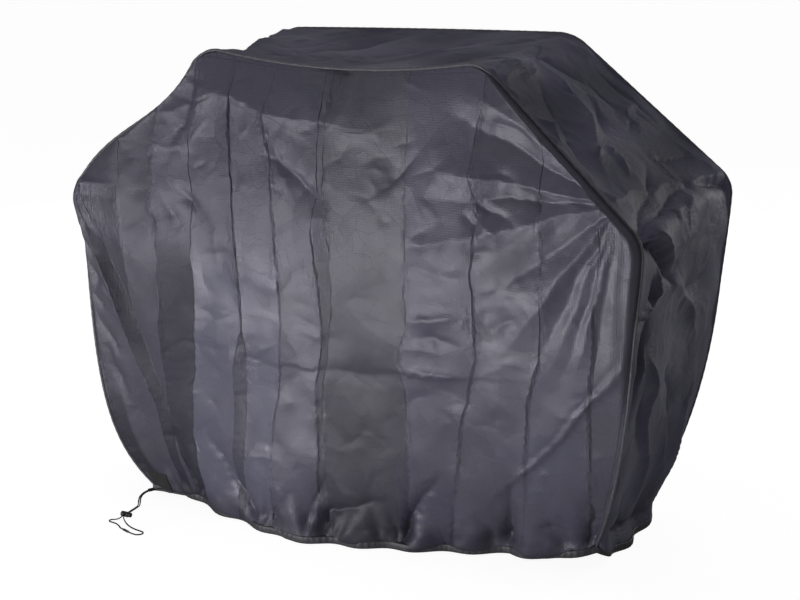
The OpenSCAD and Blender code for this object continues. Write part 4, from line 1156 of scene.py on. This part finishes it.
def front_grid():
    """Points of the front cloth, its flat map and its marks."""
    x, depth, lines, tones, wrinkle, folds = panel_columns("front", FRONT_PLEATS, FRONT_STRIP_LIGHT, FRONT_STEP, 3)
    points, low, top, u = panel_base("front", x)
    z = points[..., 2]
    depth = depth * (1 - low)

    # Places bent a little, so that no crease is ruled straight
    over = set_over(x, z)
    a = swayed(x - over, x, z, 5, FRONT_SWAY)
    b = swayed(z - 0.5 * over, x, z, 7, FRONT_SWAY)
    crease_shade = np.zeros(a.shape)
    for crease in FRONT_CREASES:
        add_crease(depth, crease_shade, a, b, *crease)
    crumple(depth, crease_shade, a, b, seed=11, count=320, size=0.0022, lean=0.3)
    depth += pinch_folds(x, z - z[:1], FRONT_PINCHES, 15)
    depth += fan_depth(a, b) + 0.001 * wander(a, b, 12, 8, 0.22)

    # The front stands out below its rolled top edge and billows over the hem
    below = seam_line("front_left")[-1, 2] - bpy.context.scene.cover_sizes.front_sag * (1 - u * u) - z
    roll = TOP_ROLL * (np.exp(-np.maximum(below, 0) / TOP_ROLL_HEIGHT) - 1)
    roll = roll * smooth((z - TOP_ROLL_END) / TOP_ROLL_FADE)
    edge = inside_edges(u, PANEL_EDGE)
    full = lobes(x + LOBE_LEAN * (z - z[:1]), FRONT_PINCHES) * uneven(x, z, 14)
    out, drop = hem_roll(z - z[:1], full * edge)

    # Everything dies away at the seams and the hem
    held = edge * below_top(top) * above_hem(low)
    points[..., 1] += (RELIEF * depth + roll) * held - out
    points[..., 2] -= drop

    tone = front_painted_light(tones[..., 0], x, z, a, b)
    marks = panel_marks(points, tone, tones[..., 1], lines, crease_shade, wrinkle, held)
    return points, np.stack([x, z], -1), marks, folds


def seam_distance(points):
    """Distance of a panel's points from its seams, left, right and top, across the cloth."""
    across = np.linalg.norm(np.diff(points, axis=1), axis=2)
    run = np.concatenate([np.zeros((len(points), 1)), np.cumsum(across, 1)], 1)
    rise = np.abs(np.gradient(points[:, 0, 2])) / np.linalg.norm(np.gradient(points[:, 0], axis=0), axis=1)
    sides = np.minimum(run, run[:, -1:] - run) * np.maximum(rise, 0.3)[:, None]
    return np.minimum(sides, points[-1, :, 2] - points[..., 2] + 0.0002)


def back_pleats():
    """Packing creases down the back, shallower and closer together at the top."""
    foot, middle, top = BACK_PLEAT_HEIGHTS
    pleats = []
    for number, place in enumerate(np.linspace(-BACK_PLEAT_REACH, BACK_PLEAT_REACH, len(BACK_STRIP_LIGHT) - 1)):
        depth = BACK_PLEAT_DEPTHS[number % 2]
        pleats.append([(foot, place + BACK_PLEAT_LEAN, depth), (middle, place - BACK_PLEAT_LEAN, depth),
                       (top, place * BACK_PLEAT_DRAW, depth / 2)])
    return pleats


def back_grid():
    """Points of the back cloth, its flat map and its marks."""
    x, depth, lines, tones, wrinkle, folds = panel_columns("back", back_pleats(), BACK_STRIP_LIGHT, BACK_STEP, 43)
    points, low, top, u = panel_base("back", x)
    z = points[..., 2]
    depth = depth * (1 - low)
    a = swayed(x, x, z, 25, BACK_SWAY)
    b = swayed(z, x, z, 26, BACK_SWAY)
    crease_shade = np.zeros(a.shape)
    crumple(depth, crease_shade, a, b, seed=21, count=220, size=0.003, lean=1.2)
    depth += 0.003 * wander(a, b, 22, 8, 0.25)
    edge = inside_edges(u, PANEL_EDGE)
    full = lobes(x, BACK_PINCHES) * uneven(x, z, 27)
    out, drop = hem_roll(z - z[:1], full * edge)
    held = edge * below_top(top) * above_hem(low)
    points[..., 1] += out - depth * held
    points[..., 2] -= drop
    marks = panel_marks(points, tones[..., 0], tones[..., 1], lines, crease_shade, wrinkle, held)

    # Columns run the other way, so that the faces look outwards
    marks = {name: values[:, ::-1] for name, values in marks.items()}
    folds = [x.shape[1] - 1 - column for column in folds]
    return points[:, ::-1], np.stack([x, z], -1)[:, ::-1], marks, folds


def seam_round(side):
    """Stations of one long seam from the left hem over the top to the right hem, with places across."""
    left, right = seam_line(side + "_left"), seam_line(side + "_right")
    left[:, 0] *= -1
    t = np.linspace(0, 1, TOP_COLUMNS + 1)[1:-1, None]
    return np.concatenate([left, mix(left[-1:], right[-1:], t), right[::-1]])


def edge_sag(stations, sag):
    """How far the top edge sags at each station."""
    ends = stations[stations[:, 4] > 0.999, 0]
    share = (2 * stations[:, 0] - ends.min() - ends.max()) / (ends.max() - ends.min())
    return stations[:, 4] * sag * (1 - share ** 2)


def gusset_grid():
    """Points of the gusset cloth, its flat map and its marks."""
    sizes = bpy.context.scene.cover_sizes
    front, back = seam_round("front"), seam_round("back")
    middle = (front + back) / 2
    steps = np.hypot(np.diff(middle[:, 0]), np.diff(middle[:, 2]))
    run = np.concatenate([[0], np.cumsum(steps)])
    run -= run[len(run) // 2]
    along = np.gradient(middle[:, [0, 2]], axis=0)
    normal = unit(np.stack([-along[:, 1], 0 * run, along[:, 0]], -1))
    t = np.linspace(-1, 1, GUSSET_COLUMNS + 1)[:, None]
    f = (t + 1) / 2
    s = mix(front[None], back[None], f[..., None])
    low = s[..., 3]
    y = mix(SEAM_GAP - front[:, 1], back[:, 1] - SEAM_GAP, f)
    rise = np.where(run < 0, sizes.left_hem[2], sizes.right_hem[2])
    sag = mix(edge_sag(front, sizes.front_sag), edge_sag(back, -sizes.back_rise), f)

    # Creases, on places bent a little
    g = np.broadcast_to(run, y.shape)
    a = swayed(g, g, y, 33, GUSSET_SWAY)
    b = swayed(y, g, y, 35, GUSSET_SWAY)
    depth = sizes.gusset_slack * (1 - t * t) + 0 * a
    crease_shade = np.zeros(a.shape)
    for crease in GUSSET_CREASES:
        add_crease(depth, crease_shade, a, b, *crease)
        if min(place for place, _ in crease[0]) > 0:
            add_crease(depth, crease_shade, -a, -b, *crease)
    crumple(depth, crease_shade, a, b, seed=31, count=420, size=0.0026, lean=0.2)
    depth += 0.0015 * wander(a, b, 32, 8, 0.2)
    edge = inside_edges(t, GUSSET_EDGE)
    bow = sizes.side_bow * flat_top(t) * low
    gather = sizes.gather * np.sin(2 * math.pi * sizes.side_gathers * f) * low * low
    z = s[..., 2] - rise * flat_top(t) * low - sag
    floor = np.where(run < 0, z[:, :1], z[:, -1:])
    full = 0.6 * lobes(f, GUSSET_PINCHES) * (0.9 + 0.2 * wander(y, z, 37, 5, 0.12))
    billow, drop = hem_roll(z - floor, full * edge)
    out = bow + gather + billow - GUSSET_RELIEF * depth * edge * above_hem(low)
    points = np.stack([s[..., 0], y, z - drop], -1) + normal * out[..., None]
    tone = 0.55 + 0.18 * wander(g, y, 38, 6, 0.3)
    marks = {"crease": 0.6 * crease_shade * edge, "tone": tone, "warm": 0 * g + 0.4,
             "seam": (1 - np.abs(t)) * front[:, 1],
             "wrinkle": 0.3 + 0.3 * wander(g, y, 39, 5, 0.15).clip(-1, 1)}
    return points, np.stack([g, y], -1), marks, []


def add_mesh(name, points, faces, material, body, maps=None, marks=None):
    """Makes a smooth mesh piece with its map, and lets it ride on a body."""
    mesh = bpy.data.meshes.new(name)
    mesh.vertices.add(len(points))
    mesh.vertices.foreach_set("co", np.asarray(points, np.float32).ravel())
    faces = np.asarray(faces, np.int32)
    sides = faces.shape[1]
    mesh.loops.add(faces.size)
    mesh.loops.foreach_set("vertex_index", faces.ravel())
    mesh.polygons.add(len(faces))
    mesh.polygons.foreach_set("loop_start", np.arange(0, faces.size, sides, dtype=np.int32))
    mesh.polygons.foreach_set("use_smooth", np.ones(len(faces), bool))
    if maps is not None:
        layer = mesh.uv_layers.new(name="cloth")
        layer.uv.foreach_set("vector", np.asarray(maps, np.float32)[faces.ravel()].ravel())
    for label, values in (marks or {}).items():
        layer = mesh.attributes.new(label, "FLOAT", "POINT")
        layer.data.foreach_set("value", np.asarray(values, np.float32).ravel())
    mesh.update()
    mesh.validate()
    mesh.materials.append(material)
    piece = bpy.data.objects.new(name, mesh)
    bpy.context.scene.collection.objects.link(piece)
    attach(piece, body)
    return piece


def grid_faces(rows, columns):
    """Quads of a grid of points, facing the viewer who sees rows run upwards and columns to the right."""
    at = np.arange(rows * columns).reshape(rows, columns)
    return np.stack([at[:-1, :-1], at[:-1, 1:], at[1:, 1:], at[1:, :-1]], -1).reshape(-1, 4)


def cloth_piece(name, grid, material):
    """Makes a cloth from a grid of points, sharp along the columns that are folds."""
    points, maps, marks, folds = grid
    rows, columns = points.shape[:2]
    piece = add_mesh(name, points.reshape(-1, 3), grid_faces(rows, columns), material, "cover",
                     maps.reshape(-1, 2), marks)
    mesh = piece.data
    ends = np.zeros(2 * len(mesh.edges), np.int32)
    mesh.edges.foreach_get("vertices", ends)
    ends = ends.reshape(-1, 2) % columns
    sharp = (ends[:, 0] == ends[:, 1]) & np.isin(ends[:, 0], folds)
    mesh.attributes.new("sharp_edge", "BOOLEAN", "EDGE").data.foreach_set("value", sharp)
    return piece


def tube_points(path, section, upward):
    """Rings of points along a path; section is a list of across and up offsets, or one for each ring."""
    ahead = unit(np.gradient(path, axis=0))
    across = unit(np.cross(upward, ahead))
    up = np.cross(ahead, across)
    section = np.broadcast_to(section, (len(path), *np.shape(section)[-2:]))
    return path[:, None, :] + section[..., 0:1] * across[:, None, :] + section[..., 1:2] * up[:, None, :]


def tube_mesh(rings):
    """Points, quads and map of a tube: the map is the share of the way round it and the metres along it."""
    count, sides = rings.shape[:2]
    at = np.arange(count * sides).reshape(count, sides)
    here, there = at[:-1], at[1:]
    quads = np.stack([here, np.roll(here, -1, 1), np.roll(there, -1, 1), there], -1).reshape(-1, 4)
    run = path_run(rings.mean(1))
    round_it = np.arange(sides) / sides
    maps = np.stack(np.broadcast_arrays(round_it[None, :], run[:, None]), -1).reshape(-1, 2)
    return rings.reshape(-1, 3), quads, maps


def circle(radius, sides):
    turn = np.linspace(0, 2 * math.pi, sides, endpoint=False)
    return radius * np.stack([np.cos(turn), np.sin(turn)], -1)


def squared(wave, power):
    """A wave with the power of its size changed, which makes a circle squarer."""
    return np.sign(wave) * np.abs(wave) ** power


def path_run(path):
    """Length along a path at each of its points."""
    return np.concatenate([[0], np.cumsum(np.linalg.norm(np.diff(path, axis=0), axis=1))])


def spaced(path, step):
    """The path again, with points about one step apart."""
    path = np.asarray(path, float)
    run = path_run(path)
    at = np.linspace(0, run[-1], max(2, round(run[-1] / step) + 1))
    return np.stack([np.interp(at, run, path[:, k]) for k in range(path.shape[1])], -1)


def smoothed(points, rounds):
    """A smooth curve through given points, with a point halfway along each stretch in each round."""
    points = np.asarray(points, float)
    for _ in range(rounds):
        before = np.concatenate([points[:1], points[:-2]])
        after = np.concatenate([points[2:], points[-1:]])
        half = (9 * (points[:-1] + points[1:]) - before - after) / 16
        both = np.empty((len(points) + len(half), points.shape[1]))
        both[0::2] = points
        both[1::2] = half
        points = both
    return points


def hem_path():
    """Middle of the hem's tunnel, counter-clockwise from the front left corner, in its four lengths."""
    sizes = bpy.context.scene.cover_sizes
    left, front_right = np.array(sizes.left_hem), np.array(sizes.right_hem)
    back_right = np.array(sizes.back_hem)

    def height(rise, u):
        return sizes.hem_height / 2 + np.maximum(0, rise * (1 - flat_top(u)) - HEM_FLAT)

    def long_side(a, b, middle, belly, gathers, side, count):
        u = np.linspace(-1, 1, count, endpoint=False)
        f = (u + 1) / 2
        corner = mix(a, b, f[:, None])
        gather = sizes.gather * np.sin(2 * math.pi * gathers * f)
        y = corner[:, 1] + (middle - corner[:, 1]) * flat_top(u)
        y = y + belly * np.interp(u, *np.array(FRONT_BELLIES).T)
        return np.stack([side * mix(a[0], -b[0], f), side * y + gather, height(corner[:, 2], u)], -1)

    def short_side(a, b, side, count):
        t = np.linspace(-1, 1, count, endpoint=False)
        f = (t + 1) / 2
        corner = mix(a, b, f[:, None])
        gather = sizes.gather * np.sin(2 * math.pi * sizes.side_gathers * f)
        x = side * (corner[:, 0] + sizes.side_bow * flat_top(t)) + gather
        return np.stack([x, side * mix(-a[1], b[1], f), height(corner[:, 2], t)], -1)

    front, rear = sizes.hem_middle
    return [
        long_side(left, front_right, front, sizes.front_belly, sizes.front_gathers, -1, LONG_HEM_STATIONS),
        short_side(front_right, back_right, 1, RIGHT_HEM_STATIONS),
        long_side(back_right, left, rear, 0, sizes.back_gathers, 1, LONG_HEM_STATIONS),
        short_side(left, left, -1, LEFT_HEM_STATIONS)]


def hem_rings(path):
    """Rings of the hem's puckered tunnel all the way round."""
    sizes = bpy.context.scene.cover_sizes
    ahead = unit(np.roll(path, -1, 0) - np.roll(path, 1, 0))
    inward = unit(np.stack([-ahead[:, 1], ahead[:, 0], 0 * ahead[:, 0]], -1))
    run = path_run(path)
    turn = np.linspace(0, 2 * math.pi, HEM_SIDES, endpoint=False)
    pinch = squared(np.cos(turn), 0.7)
    tall = squared(np.sin(turn), 0.55)
    pucker = (np.sin(2 * math.pi * run / PUCKER_PITCH + 2.0 * wander(run, 0 * run, 41, 5, 0.09))
              * (0.55 + 0.45 * wander(run, 0 * run, 42, 5, 0.12)))
    swell = 1 + 0.22 * pucker[:, None] * np.abs(pinch)[None, :]
    out = pinch[None, :] * sizes.hem_thickness / 2 * swell
    up = tall[None, :] * sizes.hem_height / 2 * (1 - 0.04 * np.abs(pucker))[:, None]
    rings = path[:, None, :] + out[..., None] * inward[:, None, :]
    rings[..., 2] += up
    return rings


def stitch_rows(name, path, out, thread):
    """A row of separate stitches along a path on the cloth."""
    ends = np.array([[-0.5, 0.1], [-0.34, 0.9], [0.34, 0.9], [0.5, 0.1]])
    cross = circle(STITCH_RADIUS, 6)
    path = spaced(path, STITCH_STEP / 2)
    middle = path[1:-1:2]
    ahead = unit(path[2::2][:len(middle)] - path[0:-2:2][:len(middle)])
    up = unit(np.array(out) - ahead * (ahead @ np.array(out))[:, None])
    side = np.cross(ahead, up)
    all_points, all_faces = [], []
    for m, d, n, c in zip(middle, ahead, up, side):
        rings = [m + d * along * STITCH_LENGTH + big * (cross[:, :1] * c + cross[:, 1:] * n)
                 for along, big in ends]
        points, faces, _ = tube_mesh(np.array(rings))
        all_faces.append(faces + len(all_points) * len(points))
        all_points.append(points)
    return add_mesh(name, np.concatenate(all_points), np.concatenate(all_faces), thread, "cover")


class COVER_OT_stage(bpy.types.Operator):
    """Makes the camera, the lights and the floor"""

    bl_idname = "cover.stage"
    bl_label = "Stage"

    def execute(self, context):
        stage = context.scene.cover_stage
        context.scene.view_settings.view_transform = "Standard"
        camera = bpy.data.objects.new("camera", bpy.data.cameras.new("camera"))
        context.scene.collection.objects.link(camera)
        context.scene.camera = camera
        camera.data.sensor_width = 36
        camera.data.lens = stage.lens
        target = Vector(stage.target)
        flat = math.cos(stage.elevation)
        back = Vector((math.sin(stage.azimuth) * flat, -math.cos(stage.azimuth) * flat,
                       math.sin(stage.elevation)))
        camera.location = target + back * stage.distance
        camera.rotation_euler = back.to_track_quat("Z", "Y").to_euler()
        for name, shape in LIGHTS.items():
            self.light(name, *shape, getattr(stage, name + "_power"))
        self.world(context.scene, stage.world)
        mesh = bpy.data.meshes.new("floor")
        far = FLOOR_REACH
        mesh.from_pydata([(-far, -far, 0), (far, -far, 0), (far, far, 0), (-far, far, 0)], [], [(0, 1, 2, 3)])
        mesh.materials.append(pale_floor("floor", context.scene.cover_finish.floor))
        floor = bpy.data.objects.new("floor", mesh)
        context.scene.collection.objects.link(floor)
        return {"FINISHED"}

    def light(self, name, place, aim, wide, tall, power):
        lamp = bpy.data.lights.new(name, "AREA")
        lamp.shape = "RECTANGLE"
        lamp.size = wide
        lamp.size_y = tall
        lamp.energy = power
        made = bpy.data.objects.new(name, lamp)
        made.location = place
        made.rotation_euler = (Vector(place) - Vector(aim)).to_track_quat("Z", "Y").to_euler()
        bpy.context.scene.collection.objects.link(made)

    def world(self, scene, strength):
        scene.world = bpy.data.worlds.new("room")
        nodes = Nodes(scene.world)
        path = nodes.node("ShaderNodeLightPath")
        dim = nodes.node("ShaderNodeBackground", None, {"Color": (1, 1, 1, 1), "Strength": strength})
        white = nodes.node("ShaderNodeBackground", None, {"Color": (1, 1, 1, 1), "Strength": 1.0})
        both = nodes.node("ShaderNodeMixShader", None, {0: path, 1: dim, 2: white})
        nodes.node("ShaderNodeOutputWorld", None, {"Surface": both})


class COVER_OT_cord(bpy.types.Operator):
    """Makes the drawcord: its free loop and the length inside the hem"""

    bl_idname = "cover.cord"
    bl_label = "Drawcord"

    def execute(self, context):
        sizes = context.scene.cover_sizes
        material = braided("drawcord", context.scene.cover_finish.cord, strand=0.0042, rows=4)
        path = spaced(smoothed(CORD_ROUTE, 3), CORD_STEP)
        # The braid is drawn thin where the lock slides on it
        loose = smooth((np.abs(path[:, 1] - LOCK_MIDDLE) - LOCK_REACH) / CORD_EASE)
        radius = mix(sizes.cord_taut, sizes.cord_radius, loose)
        rings = tube_points(path, radius[:, None, None] * circle(1.0, 12), np.array([0, 0, 1.0]))
        points, faces, maps = tube_mesh(rings)
        tail = add_mesh("cord_tail_braid", points, faces, material, "cover", maps)
        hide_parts("cord_tail")
        inside = np.concatenate([DRAWCORD_START, np.concatenate(hem_path())[OUTLET_CLEAR:-OUTLET_CLEAR],
                                 DRAWCORD_END])
        rings = tube_points(spaced(inside, HEM_CORD_STEP), circle(sizes.cord_taut, 8), np.array([0, 0, 1.0]))
        points, faces, maps = tube_mesh(rings)
        inner = add_mesh("hem_drawcord_braid", points, faces, material, "cover", maps)
        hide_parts("hem_drawcord")
        return {"FINISHED"}


class COVER_OT_panels(bpy.types.Operator):
    """Makes the front and back panels of creased cloth"""

    bl_idname = "cover.panels"
    bl_label = "Front and back panels"

    def execute(self, context):
        finish = context.scene.cover_finish
        material = coated_cloth("cover_cloth", finish.cloth, finish.cloth_sheen_tint,
                                roughness=0.36, crumples=0.7, sheen=0.6)
        front = cloth_piece("front_panel_cloth", front_grid(), material)
        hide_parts("front_panel")
        back = cloth_piece("back_panel_cloth", back_grid(), material)
        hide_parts("back_panel")
        return {"FINISHED"}


class COVER_OT_gusset(bpy.types.Operator):
    """Makes the long strip of cloth over the sides, slopes and top"""

    bl_idname = "cover.gusset"
    bl_label = "Gusset"

    def execute(self, context):
        finish = context.scene.cover_finish
        # The gusset's colours are the panels' cloth painted lighter, a lit copy of one material
        painted_lighter = [[share * c for share, c in zip(GUSSET_PAINTED_LIGHT, colour)]
                  for colour in (finish.cloth, finish.cloth_sheen_tint)]
        material = coated_cloth("gusset_cloth", *painted_lighter, roughness=0.50, crumples=1.0, sheen=0.45)
        gusset = cloth_piece("gusset_cloth", gusset_grid(), material)
        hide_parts("gusset_panel")
        return {"FINISHED"}


class COVER_OT_piping(bpy.types.Operator):
    """Makes the corded seams along the front and the back"""

    bl_idname = "cover.piping"
    bl_label = "Corded seams"

    def execute(self, context):
        sizes = context.scene.cover_sizes
        material = gathered_cloth("seam_cloth", context.scene.cover_finish.seam)
        for name, side, sag in (("front", -1, sizes.front_sag), ("back", 1, -sizes.back_rise)):
            s = seam_round(name)
            path = spaced(np.stack([s[:, 0], side * s[:, 1], s[:, 2] - edge_sag(s, sag)], -1),
                          PIPING_STEP)
            run = np.arange(len(path)) * PIPING_STEP
            swell = 1 + 0.06 * np.sin(run / PIPING_STEP + wander(run, 0 * run, 51, 4, 0.05))
            section = circle(sizes.piping_radius, 12)[None] * swell[:, None, None]
            points, faces, maps = tube_mesh(tube_points(path, section, np.array([0, 1.0, 0])))
            piece = add_mesh(name + "_piping_cloth", points, faces, material, "cover",
                             maps * [PIPING_GIRTH, 1])
            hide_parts(name + "_piping")
        return {"FINISHED"}


class COVER_OT_hems(bpy.types.Operator):
    """Makes the four lengths of the gathered hem"""

    bl_idname = "cover.hems"
    bl_label = "Hem"

    def execute(self, context):
        material = gathered_cloth("hem_cloth", context.scene.cover_finish.hem)
        lengths = hem_path()
        rings = hem_rings(np.concatenate(lengths))
        rings = np.concatenate([rings, rings[:1]])
        start = 0
        for name, length in zip(("front", "right", "back", "left"), lengths):
            end = start + len(length)
            points, faces, maps = tube_mesh(rings[start:end + 1])
            piece = add_mesh(name + "_hem_cloth", points, faces, material, "cover",
                             maps * [HEM_GIRTH, 1])
            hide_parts(name + "_hem")
            start = end
        return {"FINISHED"}


class COVER_OT_outlet(bpy.types.Operator):
    """Makes the webbing sleeve at the hem's front left corner"""

    bl_idname = "cover.outlet"
    bl_label = "Cord outlet"

    def execute(self, context):
        sizes = context.scene.cover_sizes
        black = [0.6 * c for c in context.scene.cover_finish.cord]
        material = braided("webbing", black, strand=0.0024, rows=10)
        way = np.array([math.sin(OUTLET_TURN), -math.cos(OUTLET_TURN), 0])
        across = np.array([math.cos(OUTLET_TURN), math.sin(OUTLET_TURN), 0])
        turn = np.linspace(0, 2 * math.pi, OUTLET_SIDES, endpoint=False)
        outer = np.stack([OUTLET_HALF[0] * squared(np.cos(turn), 0.8),
                          OUTLET_HALF[1] * squared(np.sin(turn), 0.8)], -1)
        outline = outer[:, :1] * across + outer[:, 1:] * np.array([0, 0, 1.0])
        points = np.array([np.array(OUTLET_ROOT) + way * sizes.outlet_length * along + size * outline
                           for along, size in OUTLET_RINGS])
        flat, faces, maps = tube_mesh(points)
        piece = add_mesh("cord_outlet_webbing", flat, faces, material, "cover", maps)
        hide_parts("cord_outlet")
        return {"FINISHED"}


class COVER_OT_lock(bpy.types.Operator):
    """Gives the cord lock and the joiner their finish"""

    bl_idname = "cover.lock"
    bl_label = "Cord lock"

    def execute(self, context):
        finish = context.scene.cover_finish
        plastic = moulded_plastic("lock_plastic", finish.plastic)
        wire = drawn_wire("spring_steel", finish.steel)
        for name, material in zip(LOCK_NODES, (plastic, plastic, plastic, wire)):
            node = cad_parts[name]
            node.data.materials.clear()
            node.data.materials.append(material)
        return {"FINISHED"}


class COVER_OT_trim(bpy.types.Operator):
    """Makes the stitch rows beside the corded seams and the webbing patch at the cord's outlet"""

    bl_idname = "cover.trim"
    bl_label = "Stitches and patch"

    def execute(self, context):
        thread = moulded_plastic("thread", context.scene.cover_finish.thread)
        front, back = self.points("front"), self.points("back")
        stitch_rows("front_stitches", self.seam_row(front), (0, -1, 0), thread)
        stitch_rows("back_stitches", self.seam_row(back), (0, 1, 0), thread)
        # The black webbing patch is sized to cover the shade beside the outlet as well as the tab
        part = front[front[:, 0, 2] < PATCH_TOP, PATCH_COLUMNS]
        out = unit(np.cross(np.gradient(part, axis=1), np.gradient(part, axis=0)))
        thick = np.full((len(part), 1, 1), PATCH_THICK)
        thick[[0, -1]] = PATCH_RIM
        rings = np.concatenate([part + thick * out, (part + PATCH_LIFT * out)[:, ::-1]], 1)
        points, faces, maps = tube_mesh(rings)
        add_mesh("outlet_patch", points, faces, bpy.data.materials["webbing"], "cover", maps)
        return {"FINISHED"}

    def points(self, side):
        """The panel's cloth as rows of points."""
        mesh = bpy.data.objects[side + "_panel_cloth"].data
        points = np.zeros(3 * len(mesh.vertices), np.float32)
        mesh.vertices.foreach_get("co", points)
        return points.reshape(len(seam_line(side + "_left")), -1, 3).astype(float)

    def seam_row(self, points):
        """Line a little way in from the panel's seams: up one side, along the top and down the other."""
        def inside(lines):
            run = np.cumsum(np.linalg.norm(np.diff(lines, axis=1, prepend=lines[:, :1]), axis=2), 1)
            return np.array([[np.interp(STITCH_AWAY, r, line[:, k]) for k in range(3)]
                             for r, line in zip(run, lines)])

        up = inside(points[STITCH_ROWS])
        down = inside(points[STITCH_ROWS, ::-1])[::-1]
        return np.concatenate([up, inside(points[::-1, STITCH_COLUMNS].swapaxes(0, 1)), down])


class COVER_PT_panel(bpy.types.Panel):
    """Lists the steps that build the cover"""

    bl_idname = "COVER_PT_panel"
    bl_label = "Grill cover"
    bl_space_type = "VIEW_3D"
    bl_region_type = "UI"
    bl_category = "Cover"

    def draw(self, context):
        for step in STEPS:
            self.layout.operator(step.bl_idname)


STEPS = (COVER_OT_stage, COVER_OT_outlet, COVER_OT_cord, COVER_OT_panels, COVER_OT_gusset, COVER_OT_piping,
         COVER_OT_hems, COVER_OT_lock, COVER_OT_trim)
CLASSES = (CoverSizes, CoverFinish, CoverStage, *STEPS, COVER_PT_panel)


def register():
    for made in CLASSES:
        bpy.utils.register_class(made)
    bpy.types.Scene.cover_sizes = PointerProperty(type=CoverSizes)
    bpy.types.Scene.cover_finish = PointerProperty(type=CoverFinish)
    bpy.types.Scene.cover_stage = PointerProperty(type=CoverStage)


def unregister():
    del bpy.types.Scene.cover_stage
    del bpy.types.Scene.cover_finish
    del bpy.types.Scene.cover_sizes
    for made in reversed(CLASSES):
        bpy.utils.unregister_class(made)


def main():
    register()
    bpy.ops.cover.stage()
    bpy.ops.cover.outlet()
    bpy.ops.cover.cord()
    bpy.ops.cover.panels()
    bpy.ops.cover.gusset()
    bpy.ops.cover.piping()
    bpy.ops.cover.hems()
    bpy.ops.cover.lock()
    bpy.ops.cover.trim()


if __name__ == "__main__":
    main()
